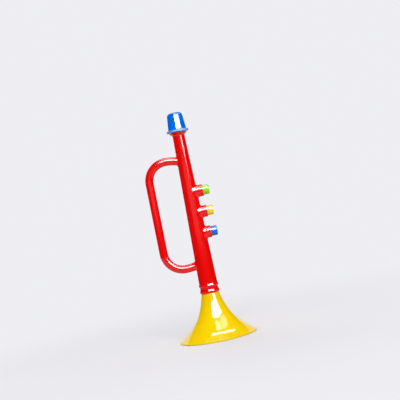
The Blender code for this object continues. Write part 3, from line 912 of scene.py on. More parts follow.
@dataclass(frozen=True)
class Levels:
    """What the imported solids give: the trumpet's axis, and the places where its pieces meet."""

    axis_x: float
    top: float
    flange_bottom: float
    flange_radius: float
    spigot_top: float
    ring_bottom: float
    neck_top: float
    rim_radius: float
    handle_offset: float
    casing_reach: float

    @classmethod
    def read(cls, handle_radius: float) -> "Levels":
        """Read the levels from the frame.

        Args:
            handle_radius: Radius of the handle's tube, which ends the body on the -X side.

        Returns:
            The levels.
        """
        bell_low, bell_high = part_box("bell")
        cup_low, cup_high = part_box("mouthpiece_cup")
        body_low, body_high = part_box("body_front_half")
        axis_x = (bell_low.x + bell_high.x) / 2
        return cls(
            axis_x=axis_x,
            top=cup_high.z,
            flange_bottom=cup_low.z,
            flange_radius=(cup_high.x - cup_low.x) / 2,
            spigot_top=body_high.z,
            ring_bottom=body_low.z,
            neck_top=bell_high.z,
            rim_radius=(bell_high.x - bell_low.x) / 2,
            handle_offset=axis_x - body_low.x - handle_radius,
            casing_reach=body_high.x - axis_x,
        )


@dataclass(frozen=True)
class Stand:
    """What a fine piece stands for: its body, the solid it replaces and its finish's slot."""

    body: str
    node: str
    slot: str


def place_piece(name: str, mesh: bpy.types.Mesh, finishes: Sequence[bpy.types.Material], stand: Stand,
                axis_x: float) -> bpy.types.Object:
    """Put a finished mesh on the trumpet.

    Args:
        name: Name of the piece.
        mesh: Its mesh, round the trumpet's own axis.
        finishes: Material for each skin of the mesh.
        stand: What the piece stands for.
        axis_x: Where the trumpet's axis is.

    Returns:
        The placed piece.
    """
    moved(mesh, Matrix.Translation((axis_x, 0, 0)))
    mesh.materials.clear()
    for finish in finishes:
        mesh.materials.append(finish)
    piece = in_scene(name, shaded(mesh))
    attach(piece, stand.body)
    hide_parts(stand.node)
    LOG.info("%s: %d faces, stands for %s", name, len(mesh.polygons), stand.node)
    return piece


@dataclass
class Body:
    """The red body: tube, handle loop and valve casings, moulded as two glued half shells."""

    levels: Levels
    valve_heights: Sequence[float]
    tube_top_radius: float = 0.0048
    tube_end_radius: float = 0.00735
    wall: float = 0.0013
    collar_rise: float = 0.0023
    collar_height: float = 0.0026
    collar_edge: float = 0.0004
    spigot_rise: float = 0.0004
    bead_rise: float = 0.0005
    bead_height: float = 0.0024
    bead_crest_share: float = 0.6
    groove_depth: float = 0.00015
    groove_height: float = 0.0022
    ring_rise: float = 0.00045
    ring_height: float = 0.0029
    ring_crest_share: float = 0.42
    swell_round: float = 0.001
    ring_round: float = 0.0007
    snap_rise: float = 0.0005
    snap_height: float = 0.0014
    handle_radius: float = 0.00325
    handle_wall: float = 0.0012
    handle_corner_radius: float = 0.015
    handle_shoulder_drop: float = 0.0024
    handle_top_drop: float = 0.0183
    handle_bottom_rise: float = 0.0142
    handle_end_share: float = 0.5
    handle_fillet: float = 0.0009
    casing_radius: float = 0.00475
    casing_wall: float = 0.00065
    casing_edge: float = 0.0002
    casing_fillet: float = 0.0013
    seat_share: float = 0.5
    floor_thickness: float = 0.0011
    stem_hole_radius: float = 0.0016
    seam_gap: float = 0.00002
    seam_depth: float = 0.00008
    seam_width: float = 0.00028
    seam_loops: int = 4
    pin_boss_radius: float = 0.0017
    pin_radius: float = 0.0008
    pin_length: float = 0.0012
    pin_run_share: float = 0.32
    pin_edge_ratio: float = 5.0
    mouth_edge_share: float = 0.75
    ring_step: float = 0.00045
    casing_step_share: float = 0.7
    bore_step: float = 0.0018
    hollow_step: float = 0.0009
    tube_sides: int = 104
    handle_sides: int = 44
    hollow_sides: int = 24
    casing_sides: int = 72
    inside_sides: int = 56
    pin_sides: int = 24
    root_reach_share: float = 3.0
    root_skin_ratio: float = 20.0
    least_slope: float = 0.25
    newton_steps: int = 5
    probe: float = 1e-6

    @property
    def collar_top(self) -> float:
        """Level of the collar's top, just under the cup's flange."""
        return self.levels.flange_bottom - FIT_GAP

    @property
    def collar_bottom(self) -> float:
        """Level at which the collar runs out into the tube."""
        return self.collar_top - self.collar_height

    @property
    def ring_top(self) -> float:
        """Level of the top of the end ring."""
        return self.levels.ring_bottom + self.ring_height

    @property
    def bead_bottom(self) -> float:
        """Level at which the bead meets the groove."""
        return self.ring_top + self.groove_height

    @property
    def bead_top(self) -> float:
        """Level at which the bead meets the cone of the tube."""
        return self.bead_bottom + self.bead_height

    @property
    def handle_top(self) -> float:
        """Highest level of the handle's centre line."""
        return self.collar_bottom - self.handle_top_drop

    @property
    def handle_bottom(self) -> float:
        """Lowest level of the handle's centre line."""
        return self.bead_top + self.handle_bottom_rise

    @property
    def corner_x(self) -> float:
        """Where the handle's corners have their centres."""
        return self.handle_corner_radius - self.levels.handle_offset

    @property
    def shoulder_radius(self) -> float:
        """Radius of the arcs by which the handle runs into the tube."""
        run = -self.handle_end_share * self.tube_top_radius - self.corner_x
        return (run ** 2 + self.handle_shoulder_drop ** 2) / (2 * self.handle_shoulder_drop)

    @property
    def slope(self) -> float:
        """How much the tube's radius grows for each metre down."""
        return (self.tube_end_radius - self.tube_top_radius) / (self.collar_bottom - self.bead_top)

    @property
    def seat_reach(self) -> float:
        """Distance from the axis of the valve seats, inside the tube."""
        return self.seat_share * self.tube_radius(self.valve_heights[0])

    @property
    def floor_reach(self) -> float:
        """Distance from the axis of the casings' floors."""
        return self.seat_reach + self.floor_thickness

    @property
    def well_radius(self) -> float:
        """Radius of the well that a button moves in."""
        return self.casing_radius - self.casing_wall

    @property
    def bore_top_radius(self) -> float:
        """Radius of the bore under the mouthpiece."""
        return self.tube_top_radius - self.wall

    @property
    def neck_radius(self) -> float:
        """Radius of the bell's neck, which seats in the bore."""
        return self.tube_radius(self.levels.neck_top) - self.wall - FIT_GAP

    @property
    def snap_top(self) -> float:
        """Level of the top of the snap bead, which sits half-way up the bell's neck."""
        return (self.levels.ring_bottom - FIT_GAP + self.levels.neck_top + self.snap_height) / 2

    @property
    def spigot_radius(self) -> float:
        """Radius of the spigot inside the mouthpiece."""
        return self.tube_top_radius + self.spigot_rise

    def tube_radius(self, height: Length) -> Length:
        """Give the tube's outer radius at a height, or at many."""
        return self.tube_top_radius + (self.collar_bottom - height) * self.slope

    def seam_angles(self, count: int, radius: float) -> list[float]:
        """Give angles round a tube with extra ones beside the seam, which lies at 0 and half a turn.

        Args:
            count: Even angles round the tube.
            radius: The tube's radius.

        Returns:
            The angles, in order.
        """
        reach = self.seam_width / radius
        beside = [reach * step / self.seam_loops for step in range(1, self.seam_loops + 1)]
        offsets = [0.0, *beside, *(-angle for angle in beside)]
        spacing = math.tau / count
        spare = reach + spacing / 3
        even = [angle for angle in even_angles(count)
                if min(angle % math.pi, math.pi - angle % math.pi) > spare]
        extra = [(middle + offset) % math.tau for middle in (0.0, math.pi) for offset in offsets]
        return sorted(even + extra)

    def tube_section(self) -> list[Point]:
        """Outside of the tube, from the spigot down to the end ring.

        Returns:
            The section's points.
        """
        collar_radius = self.tube_top_radius + self.collar_rise
        edge_level = self.collar_top - self.collar_edge
        bead_radius = self.tube_end_radius + self.bead_rise
        bead_crest = self.bead_top - self.bead_crest_share * self.bead_height
        groove_radius = self.tube_end_radius - self.groove_depth
        ring_radius = self.tube_end_radius + self.ring_rise
        ring_crest = self.ring_top - self.ring_crest_share * self.ring_height
        points = rounded_section([
            Corner(0, self.levels.spigot_top),
            Corner(self.spigot_radius, self.levels.spigot_top, self.spigot_rise),
            Corner(self.spigot_radius, self.collar_top),
            Corner(collar_radius, self.collar_top, self.collar_edge / 2),
            Corner(collar_radius, edge_level, self.collar_edge / 2),
            Corner(self.tube_top_radius, self.collar_bottom, self.collar_height / 4),
            Corner(self.tube_end_radius, self.bead_top, self.swell_round * 2),
            Corner(bead_radius, bead_crest, self.swell_round),
            Corner(bead_radius, self.bead_bottom, self.bead_rise),
            Corner(groove_radius, self.bead_bottom, self.groove_depth),
            Corner(groove_radius, self.ring_top, self.swell_round),
            Corner(ring_radius, ring_crest, self.swell_round),
            Corner(ring_radius, self.levels.ring_bottom, self.ring_round),
            Corner(0, self.levels.ring_bottom),
        ])
        return divided(points, self.ring_step)

    def bore_section(self) -> list[Point]:
        """Inside of the tube, with the bead that snaps round the bell's neck.

        Returns:
            The section's points.
        """
        snap_radius = self.neck_radius - self.snap_rise + FIT_GAP
        snap_top, snap_bottom = self.snap_top, self.snap_top - self.snap_height
        neck_bore = self.neck_radius + FIT_GAP
        ends = (self.levels.spigot_top + OVERRUN, self.levels.ring_bottom - OVERRUN)
        points = rounded_section([
            Corner(0, ends[0]),
            Corner(self.bore_top_radius, ends[0]),
            Corner(self.bore_top_radius, self.collar_bottom),
            Corner(neck_bore, self.levels.neck_top),
            Corner(neck_bore, snap_top + self.snap_rise, self.snap_rise),
            Corner(snap_radius, snap_top, self.snap_rise / 2),
            Corner(snap_radius, snap_bottom, self.snap_rise / 2),
            Corner(neck_bore, snap_bottom - self.snap_rise, self.snap_rise),
            Corner(neck_bore, ends[1]),
            Corner(0, ends[1]),
        ], steps=4)
        return divided(points, self.bore_step)

    def arc(self, centre: Point, radius: float, start: float, end: float, step: float) -> list[Vector]:
        """Points of an arc in the plane of the seam.

        Args:
            centre: Centre of the arc, as x and z.
            radius: Radius of the arc.
            start: First angle.
            end: Last angle.
            step: Longest distance between points.

        Returns:
            The points, both ends included.
        """
        count = math.ceil(abs(end - start) * radius / step)
        angles = [start + (end - start) * index / count for index in range(count + 1)]
        return [Vector((centre[0] + radius * math.cos(angle), 0, centre[1] + radius * math.sin(angle)))
                for angle in angles]

    def handle_path(self, step: float) -> list[Vector]:
        """Centre line of the handle, from inside the top of the tube to inside its lower end.

        Args:
            step: Longest distance between points.

        Returns:
            The points of the line.
        """
        up, left, down = math.pi / 2, math.pi, math.pi * 3 / 2
        corner, shoulder = self.handle_corner_radius, self.shoulder_radius
        run = -self.handle_end_share * self.tube_top_radius - self.corner_x
        bend = math.asin(run / shoulder)
        top = self.arc((self.corner_x, self.handle_top - shoulder), shoulder, up - bend, up, step)
        upper = self.arc((self.corner_x, self.handle_top - corner), corner, up, left, step)
        lower = self.arc((self.corner_x, self.handle_bottom + corner), corner, left, down, step)
        bottom = self.arc((self.corner_x, self.handle_bottom + shoulder), shoulder, down, down + bend,
                          step)
        count = math.ceil((upper[-1] - lower[0]).length / (2 * step))
        straight = [upper[-1].lerp(lower[0], index / count) for index in range(1, count)]
        return top[:-1] + upper + straight + lower + bottom[1:]

    def handle_tube(self, name: str, radius: float, angles: Sequence[float],
                    step: float) -> bpy.types.Mesh:
        """Sweep a round tube along the handle.

        Args:
            name: Name of the mesh.
            radius: Radius of the tube.
            angles: Where round the tube its points are; 0 lies in the plane of the seam.
            step: Longest distance between rings.

        Returns:
            The tube.
        """
        path = self.handle_path(step)
        last = len(path) - 1
        sides = [(path[min(index + 1, last)] - path[max(index - 1, 0)]).cross(Vector((0, 1, 0)))
                 for index in range(len(path))]
        return swept(name, path, sides, radius, angles)

    def across_valve(self, height: float) -> Matrix:
        """Give the matrix that lays a turned shape on a valve's axis, pointing out."""
        return Matrix.Translation((0, 0, height)) @ Matrix.Rotation(math.pi / 2, 4, "Y")

    def on_valves(self, name: str, section: Sequence[Point], angles: Sequence[float]) -> bpy.types.Mesh:
        """Turn a section once for each valve.

        Args:
            name: Name of the mesh.
            section: Section along the valve's axis.
            angles: Where round the axis the section stands.

        Returns:
            One mesh with all the turned shapes.
        """
        shapes = [moved(turned(name, section, angles, closed=False), self.across_valve(height))
                  for height in self.valve_heights]
        return merged(name, shapes)

    def casings(self) -> bpy.types.Mesh:
        """Make the solid casings.

        Returns:
            One mesh with all three.
        """
        section = rounded_section([
            Corner(0, self.levels.casing_reach),
            Corner(self.casing_radius, self.levels.casing_reach, self.casing_edge),
            Corner(self.casing_radius, self.seat_reach),
            Corner(0, self.seat_reach),
        ])
        wall = divided(section[1:-1], self.ring_step * self.casing_step_share)
        angles = self.seam_angles(self.casing_sides, self.casing_radius)
        return self.on_valves("casings", section[:1] + wall + section[-1:], angles)

    def wells(self) -> bpy.types.Mesh:
        """Make the hollows of the casings, with a chamfered mouth and the vent hole in the floor.

        Returns:
            One mesh with all three.
        """
        reach, edge = self.levels.casing_reach, self.casing_edge * self.mouth_edge_share
        section = rounded_section([
            Corner(0, reach + OVERRUN),
            Corner(self.well_radius + edge, reach + OVERRUN),
            Corner(self.well_radius + edge, reach),
            Corner(self.well_radius, reach - edge),
            Corner(self.well_radius, self.floor_reach, self.casing_edge),
            Corner(self.stem_hole_radius, self.floor_reach, self.casing_edge / 2),
            Corner(self.stem_hole_radius, self.seat_reach - OVERRUN),
            Corner(0, self.seat_reach - OVERRUN),
        ], steps=3)
        return self.on_valves("wells", section, even_angles(self.inside_sides))

    def pin_places(self) -> list[Point]:
        """Place the locating pins: at both apexes of the loop and twice on its straight run.

        Returns:
            The places, as x and z.
        """
        middle = (self.handle_top + self.handle_bottom) / 2
        spread = self.pin_run_share * (self.handle_top - self.handle_bottom)
        run_x = -self.levels.handle_offset
        return [(self.corner_x, self.handle_top), (run_x, middle + spread), (run_x, middle - spread),
                (self.corner_x, self.handle_bottom)]

    def pins(self, name: str, radius: float, low: float, high: float) -> bpy.types.Mesh:
        """Make a short round pin across the seam at each pin's place.

        Args:
            name: Name of the mesh.
            radius: Radius of the pins.
            low: Where they start, along Y.
            high: Where they end.

        Returns:
            One mesh with all the pins.
        """
        edge = radius / self.pin_edge_ratio
        section = rounded_section([
            Corner(0, high),
            Corner(radius, high, edge),
            Corner(radius, low, edge),
            Corner(0, low),
        ], steps=3)
        to_y = Matrix.Rotation(-math.pi / 2, 4, "X")
        angles = even_angles(self.pin_sides)
        pins = [moved(turned(name, section, angles, closed=False), Matrix.Translation((x, 0, z)) @ to_y)
                for x, z in self.pin_places()]
        return merged(name, pins)

    def tube_distance(self, points: np.ndarray) -> np.ndarray:
        """Signed distance from points to the cone of the tube."""
        steepness = math.cos(math.atan(self.slope))
        return (np.hypot(points[:, 0], points[:, 1]) - self.tube_radius(points[:, 2])) * steepness

    def casing_distance(self, height: float) -> Callable[[np.ndarray], np.ndarray]:
        """Give the function of signed distance to the casing at a height."""
        return lambda points: np.hypot(points[:, 1], points[:, 2] - height) - self.casing_radius

    def shoulder_distance(self, level: float, side: int) -> Callable[[np.ndarray], np.ndarray]:
        """Give the function of signed distance to a shoulder of the handle.

        Args:
            level: Level of the handle's centre line at the corner.
            side: 1 for the upper shoulder, -1 for the lower one.

        Returns:
            The function.
        """
        centre_z = level - side * self.shoulder_radius

        def distance(points: np.ndarray) -> np.ndarray:
            """Signed distance from points to the shoulder's tube."""
            from_centre = np.hypot(points[:, 0] - self.corner_x, points[:, 2] - centre_z)
            return np.hypot(from_centre - self.shoulder_radius, points[:, 1]) - self.handle_radius

        return distance

    def round_root(self, mesh: bpy.types.Mesh, distance: Callable[[np.ndarray], np.ndarray],
                   radius: float, centre: Vector) -> None:
        """Round the crease where a branch meets the tube by moving the vertices near it outwards.

        Args:
            mesh: The joined body.
            distance: Signed distance to the branch.
            radius: Radius of the fillet.
            centre: Middle of the branch's root.
        """
        points = read_points(mesh)
        first, second = self.tube_distance(points), distance(points)
        reach = self.root_reach_share * self.casing_radius
        near = np.linalg.norm(points - np.array(centre), axis=1) < reach
        same_side = points[:, 0] * centre.x > 0
        on_skin = np.abs(np.minimum(first, second)) < radius / self.root_skin_ratio
        chosen = near & same_side & on_skin & (np.maximum(first, second) < radius)

        def depth(places: np.ndarray) -> np.ndarray:
            """Signed distance from places to the rounded surface."""
            inner = np.maximum(radius - self.tube_distance(places), 0)
            return radius - np.hypot(inner, np.maximum(radius - distance(places), 0))

        places = points[chosen]
        for _ in range(self.newton_steps):
            value = depth(places)
            slopes = np.stack([(depth(places + step) - depth(places - step)) / (2 * self.probe)
                               for step in np.eye(3) * self.probe], axis=1)
            steepness = np.maximum((slopes ** 2).sum(1), self.least_slope)
            places = places - slopes * (value / steepness)[:, None]
        points[chosen] = places
        write_points(mesh, points)

    def sink_seam(self, mesh: bpy.types.Mesh) -> None:
        """Sink the skin along the seam, which leaves the fine groove that a glued seam has.

        Args:
            mesh: The joined body, before it is parted.
        """
        points = read_points(mesh)
        normals = np.array([tuple(vertex.normal) for vertex in mesh.vertices])
        share = np.clip(1 - np.abs(points[:, 1]) / self.seam_width, 0, 1)
        write_points(mesh, points - normals * (self.seam_depth * share ** 2)[:, None])

    def skin(self) -> bpy.types.Mesh:
        """Make the outside of the whole body as one solid, with its roots rounded and its seam sunk.

        Returns:
            The solid.
        """
        tube_angles = self.seam_angles(self.tube_sides, self.tube_end_radius)
        tube = tagged(turned("tube", self.tube_section(), tube_angles, closed=False), Skin.OUTSIDE)
        handle_angles = self.seam_angles(self.handle_sides, self.handle_radius)
        handle = self.handle_tube("handle", self.handle_radius, handle_angles, self.ring_step)
        body = combined(tube, tagged(handle, Skin.OUTSIDE), Operation.JOIN)
        body = combined(body, tagged(self.casings(), Skin.OUTSIDE), Operation.JOIN)
        for height in self.valve_heights:
            root = Vector((self.tube_radius(height), 0, height))
            self.round_root(body, self.casing_distance(height), self.casing_fillet, root)
        for level, side in ((self.handle_top, 1), (self.handle_bottom, -1)):
            root = Vector((-self.tube_radius(level), 0, level - side * self.handle_shoulder_drop))
            self.round_root(body, self.shoulder_distance(level, side), self.handle_fillet, root)
        self.sink_seam(body)
        return body

    def shell(self) -> bpy.types.Mesh:
        """Hollow the body out: the bore, the wells, the handle's hollow and the bosses inside it.

        Returns:
            The whole hollow body.
        """
        angles = even_angles(self.inside_sides)
        bore = tagged(turned("bore", self.bore_section(), angles, closed=False), Skin.INSIDE)
        body = combined(self.skin(), bore, Operation.CUT)
        hollow_radius = self.handle_radius - self.handle_wall
        hollow_angles = half_step_angles(self.hollow_sides)
        hollow = self.handle_tube("hollow", hollow_radius, hollow_angles, self.hollow_step)
        body = combined(body, tagged(hollow, Skin.INSIDE), Operation.CUT)
        body = combined(body, tagged(self.seats(), Skin.INSIDE), Operation.JOIN)
        body = combined(body, tagged(self.wells(), Skin.INSIDE), Operation.CUT)
        boss_end = self.handle_radius - self.handle_wall / 2
        bosses = self.pins("bosses", self.pin_boss_radius, -boss_end, boss_end)
        return combined(body, tagged(bosses, Skin.INSIDE), Operation.JOIN)

    def seats(self) -> bpy.types.Mesh:
        """Make the part of each casing that stands inside the bore and carries the valve's seat.

        Returns:
            One mesh with all three.
        """
        inner = self.tube_radius(self.valve_heights[-1]) - self.wall / 2
        radius = self.casing_radius - self.casing_edge / 4
        wall = divided([(radius, inner), (radius, self.seat_reach)], self.hollow_step)
        section = [(0, inner), *wall, (0, self.seat_reach)]
        return self.on_valves("seats", section, half_step_angles(self.inside_sides))

    def half(self, shell: bpy.types.Mesh, side: int) -> bpy.types.Mesh:
        """Part one half from the shell, with its sockets or its pins.

        Args:
            shell: The whole hollow body.
            side: -1 for the front half, 1 for the rear half.

        Returns:
            The half.
        """
        inner, outer = side * self.seam_gap / 2, side * self.levels.top
        low = Vector((-self.levels.top, min(inner, outer), 0))
        high = Vector((self.levels.top, max(inner, outer), self.levels.top))
        half = combined(shell, tagged(block("half_block", low, high), Skin.INSIDE), Operation.KEEP)
        if side < 0:
            depth = self.pin_length + FIT_GAP
            tool = self.pins("sockets", self.pin_radius + FIT_GAP, -depth, depth)
            return combined(half, tagged(tool, Skin.INSIDE), Operation.CUT)
        tool = self.pins("pins", self.pin_radius, -self.pin_length, self.pin_length)
        return combined(half, tagged(tool, Skin.INSIDE), Operation.JOIN)

    def build(self, outside: bpy.types.Material, inside: bpy.types.Material) -> None:
        """Make both halves and put them on the trumpet.

        Args:
            outside: Finish of the polished outside.
            inside: Finish of the inside and of the seam's faces.
        """
        shell = self.shell()
        for name, side in (("front", -1), ("rear", 1)):
            stand = Stand("trumpet", f"body_{name}_half", "red_plastic")
            place_piece(f"{name}_shell", self.half(shell, side), [outside, inside], stand,
                        self.levels.axis_x)


@dataclass
class Bell:
    """The yellow bell: a thin flared shell with a neck that snaps into the body's end ring."""

    levels: Levels
    body: Body
    wall: float = 0.0013
    shoulder_step: float = 0.0003
    lip_height: float = 0.001
    lip_round: float = 0.00045
    lip_width: float = 0.0015
    growth_share: float = 2.07
    inner_end_share: float = 0.95
    neck_chamfer: float = 0.0004
    flare_steps: int = 56
    sides: int = 160

    @property
    def length(self) -> float:
        """Level of the shoulder that stops against the end ring."""
        return self.levels.ring_bottom - FIT_GAP

    def flare_point(self, share: float) -> tuple[float, float, float]:
        """Give a point of the outer flare.

        Args:
            share: Share of the way from the shoulder to the lip.

        Returns:
            The radius, the height and how fast the radius grows on the way down.
        """
        shoulder_radius = self.body.tube_end_radius - self.shoulder_step
        depth = self.length - self.lip_height
        scale = (self.levels.rim_radius - shoulder_radius) / (math.exp(self.growth_share) - 1)
        growth = math.exp(self.growth_share * share)
        slope = scale * self.growth_share * growth / depth
        return shoulder_radius + scale * (growth - 1), self.length - share * depth, slope

    def section(self) -> list[Point]:
        """Section of the bell: down the neck and the outer flare, round the lip and up inside.

        Returns:
            The section's points, as a closed ring.
        """
        neck = self.body.neck_radius
        snap_radius = neck - self.body.snap_rise
        snap_top, snap_bottom = self.body.snap_top, self.body.snap_top - self.body.snap_height
        rise, rim = self.body.snap_rise, self.levels.rim_radius
        shoulder = self.flare_point(0)[0]
        head = rounded_section([
            Corner(neck - self.wall, self.levels.neck_top),
            Corner(neck, self.levels.neck_top, self.neck_chamfer),
            Corner(neck, snap_top + rise + FIT_GAP, rise),
            Corner(snap_radius, snap_top + FIT_GAP, rise / 2),
            Corner(snap_radius, snap_bottom - FIT_GAP, rise / 2),
            Corner(neck, snap_bottom - rise - FIT_GAP, rise),
            Corner(neck, self.length),
            Corner(shoulder, self.length, self.neck_chamfer / 2),
            Corner(*self.flare_point(1 / self.flare_steps)[:2]),
        ], steps=4)
        flare = [self.flare_point(step / self.flare_steps)[:2]
                 for step in range(2, self.flare_steps + 1)]
        lip = rounded_section([
            Corner(*flare[-1]),
            Corner(rim, 0, self.lip_round),
            Corner(rim - self.lip_width, 0, self.lip_round / 2),
            Corner(*self.inner_point(1.0)),
        ])[1:]
        inner = [self.inner_point(step / self.flare_steps)
                 for step in range(self.flare_steps - 1, 0, -1)]
        return head + flare + lip + inner + [(neck - self.wall, self.length)]

    def inner_point(self, share: float) -> Point:
        """Give a point of the inner flare, one wall inside the outer one.

        Args:
            share: Share of the way from the throat to the lip.

        Returns:
            The radius and the height.
        """
        radius, height, slope = self.flare_point(self.inner_end_share * share)
        length = math.hypot(1, slope)
        return radius - self.wall / length, height - self.wall * slope / length

    def build(self, finish: bpy.types.Material) -> None:
        """Make the bell and put it on the trumpet.

        Args:
            finish: The yellow plastic.
        """
        mesh = turned("bell", self.section(), even_angles(self.sides), closed=True)
        place_piece("bell_shell", mesh, [finish], Stand("trumpet", "bell", "yellow_plastic"),
                    self.levels.axis_x)


@dataclass
class Mouthpiece:
    """The blue cup over the spigot: a thimble with a thin flange and a blow hole in its top."""

    levels: Levels
    body: Body
    base_wall: float = 0.0018
    taper: float = 0.00135
    wall: float = 0.0013
    shoulder: float = 0.0030
    top_thickness: float = 0.0016
    ledge: float = 0.0006
    flange_height: float = 0.0018
    flange_round: float = 0.0006
    blow_hole_radius: float = 0.0021
    blow_hole_round: float = 0.0006
    reed_flange_height: float = 0.001
    sides: int = 112

    @property
    def socket_radius(self) -> float:
        """Radius of the socket that holds the spigot."""
        return self.body.spigot_radius + FIT_GAP

    @property
    def reed_flange_top(self) -> float:
        """Level of the top of the reed holder's flange."""
        return self.levels.spigot_top + FIT_GAP + self.reed_flange_height

    def section(self) -> list[Point]:
        """Section of the cup: down its outside, round the flange and back up inside.

        Returns:
            The section's points, as a closed ring.
        """
        top, bottom = self.levels.top, self.levels.flange_bottom
        base = self.socket_radius + self.base_wall
        upper = base - self.taper
        flange_top = bottom + self.flange_height
        chamber_top = top - self.top_thickness
        ledge = self.reed_flange_top + FIT_GAP
        return rounded_section([
            Corner(self.blow_hole_radius, top, self.blow_hole_round),
            Corner(upper, top, self.shoulder),
            Corner(base, flange_top, self.flange_round),
            Corner(self.levels.flange_radius, flange_top, self.flange_round),
            Corner(self.levels.flange_radius, bottom, self.flange_round / 3),
            Corner(self.socket_radius, bottom, self.flange_round / 4),
            Corner(self.socket_radius, ledge),
            Corner(self.socket_radius - self.ledge, ledge, self.ledge / 3),
            Corner(upper - self.wall, chamber_top, self.wall),
            Corner(self.blow_hole_radius, chamber_top, self.ledge / 3),
        ], closed=True, steps=10)

    def build(self, finish: bpy.types.Material) -> None:
        """Make the cup and put it on the trumpet.

        Args:
            finish: The blue plastic.
        """
        mesh = turned("cup", self.section(), even_angles(self.sides), closed=True)
        stand = Stand("trumpet", "mouthpiece_cup", "blue_plastic")
        place_piece("mouthpiece_shell", mesh, [finish], stand, self.levels.axis_x)


@dataclass
class ReedUnit:
    """The sound maker inside the cup: a slotted holder, a springy tongue and a clamp ring."""

    levels: Levels
    body: Body
    cup: Mouthpiece
    plug_depth: float = 0.005
    plug_wall: float = 0.0008
    shallot_radius: float = 0.0024
    shallot_length: float = 0.0062
    shallot_bore: float = 0.0009
    shallot_cap: float = 0.0008
    reed_width: float = 0.0026
    reed_thickness: float = 0.00025
    tip_margin: float = 0.0004
    tip_lift: float = 0.00022
    tip_bluntness: int = 4
    tip_least: float = 0.02
    tip_thinning: float = 0.35
    slot_width: float = 0.0012
    clamp_height: float = 0.0014
    clamp_wall: float = 0.0008
    clamp_lift: float = 0.0004
    edge: float = 0.00015
    sides: int = 64
    reed_steps: int = 24

    @property
    def shallot_top(self) -> float:
        """Level of the top of the slotted part."""
        return self.cup.reed_flange_top + self.shallot_length

    @property
    def clamp_bottom(self) -> float:
        """Level of the bottom of the clamp ring."""
        return self.cup.reed_flange_top + self.clamp_lift

    @property
    def clamp_inner(self) -> float:
        """Inner radius of the clamp ring."""
        return self.shallot_radius + FIT_GAP

    @property
    def reed_back(self) -> float:
        """Distance from the axis of the tongue's inner face."""
        front = math.sqrt(self.clamp_inner ** 2 - (self.reed_width / 2) ** 2) - FIT_GAP
        return front - self.reed_thickness

    def holder(self) -> bpy.types.Mesh:
        """Make the holder: plug, flange and the shallot with its flat and its slot.

        Returns:
            The holder's mesh.
        """
        flange_bottom = self.levels.spigot_top + FIT_GAP
        flange_top, spigot = self.cup.reed_flange_top, self.body.spigot_radius
        plug = self.body.bore_top_radius - FIT_GAP
        plug_bottom = flange_bottom - self.plug_depth
        bore_end = self.shallot_top - self.shallot_cap
        section = rounded_section([
            Corner(0, self.shallot_top),
            Corner(self.shallot_radius, self.shallot_top, self.edge),
            Corner(self.shallot_radius, flange_top, self.edge),
            Corner(spigot, flange_top, self.edge),
            Corner(spigot, flange_bottom, self.edge),
            Corner(plug, flange_bottom, self.edge),
            Corner(plug, plug_bottom, self.edge),
            Corner(plug - self.plug_wall, plug_bottom, self.edge),
            Corner(plug - self.plug_wall, flange_bottom, self.edge),
            Corner(self.shallot_bore, flange_bottom, self.edge),
            Corner(self.shallot_bore, bore_end),
            Corner(0, bore_end),
        ], steps=3)
        holder = tagged(turned("holder", section, even_angles(self.sides), closed=False), Skin.OUTSIDE)
        reach = self.shallot_radius + OVERRUN
        flat = block("flat", Vector((-reach, -reach, flange_top + FIT_GAP)),
                     Vector((reach, FIT_GAP - self.reed_back, self.shallot_top + OVERRUN)))
        holder = combined(holder, tagged(flat, Skin.OUTSIDE), Operation.CUT)
        slot_bottom = self.clamp_bottom + self.clamp_height
        slot = block("slot", Vector((-self.slot_width / 2, -reach, slot_bottom)),
                     Vector((self.slot_width / 2, 0, bore_end)))
        return combined(holder, tagged(slot, Skin.OUTSIDE), Operation.CUT)

    def tongue(self) -> bpy.types.Mesh:
        """Make the tongue: a thin strip with a round tip that stands a little off the slot.

        Returns:
            The tongue's mesh.
        """
        low, high = self.clamp_bottom, self.shallot_top - self.tip_margin
        half = self.reed_width / 2
        rings = []
        for step in range(self.reed_steps + 1):
            share = step / self.reed_steps
            height = low + share * (high - low)
            past_round = max(1 - (high - height) / half, 0)
            width = half * math.sqrt(max(1 - past_round ** self.tip_bluntness, self.tip_least))
            thickness = self.reed_thickness * (1 - self.tip_thinning * share)
            back = -(self.reed_back + self.tip_lift * share ** 2)
            front = back - thickness
            rings.append([Vector((-width, back, height)), Vector((width, back, height)),
                          Vector((width, front, height)), Vector((-width, front, height))])
        return grid_mesh("tongue", rings, capped=True, looped=False)

    def build(self, cream: bpy.types.Material, strip: bpy.types.Material) -> None:
        """Make the three pieces and put them in the trumpet.

        Args:
            cream: Finish of the holder and the ring.
            strip: Finish of the tongue.
        """
        axis_x = self.levels.axis_x
        holder_stand = Stand("trumpet", "reed_holder", "cream_plastic")
        place_piece("reed_plug", self.holder(), [cream], holder_stand, axis_x)
        tongue_stand = Stand("trumpet", "reed_tongue", "reed_strip")
        place_piece("reed_strip", self.tongue(), [strip], tongue_stand, axis_x)
        top, outer = self.clamp_bottom + self.clamp_height, self.clamp_inner + self.clamp_wall
        ring = rounded_section([
            Corner(outer, top, self.edge),
            Corner(outer, self.clamp_bottom, self.edge),
            Corner(self.clamp_inner, self.clamp_bottom, self.edge),
            Corner(self.clamp_inner, top, self.edge),
        ], closed=True, steps=4)
        mesh = turned("ring", ring, even_angles(self.sides), closed=True)
        ring_stand = Stand("trumpet", "reed_clamp_ring", "cream_plastic")
        place_piece("reed_ring", mesh, [cream], ring_stand, axis_x)


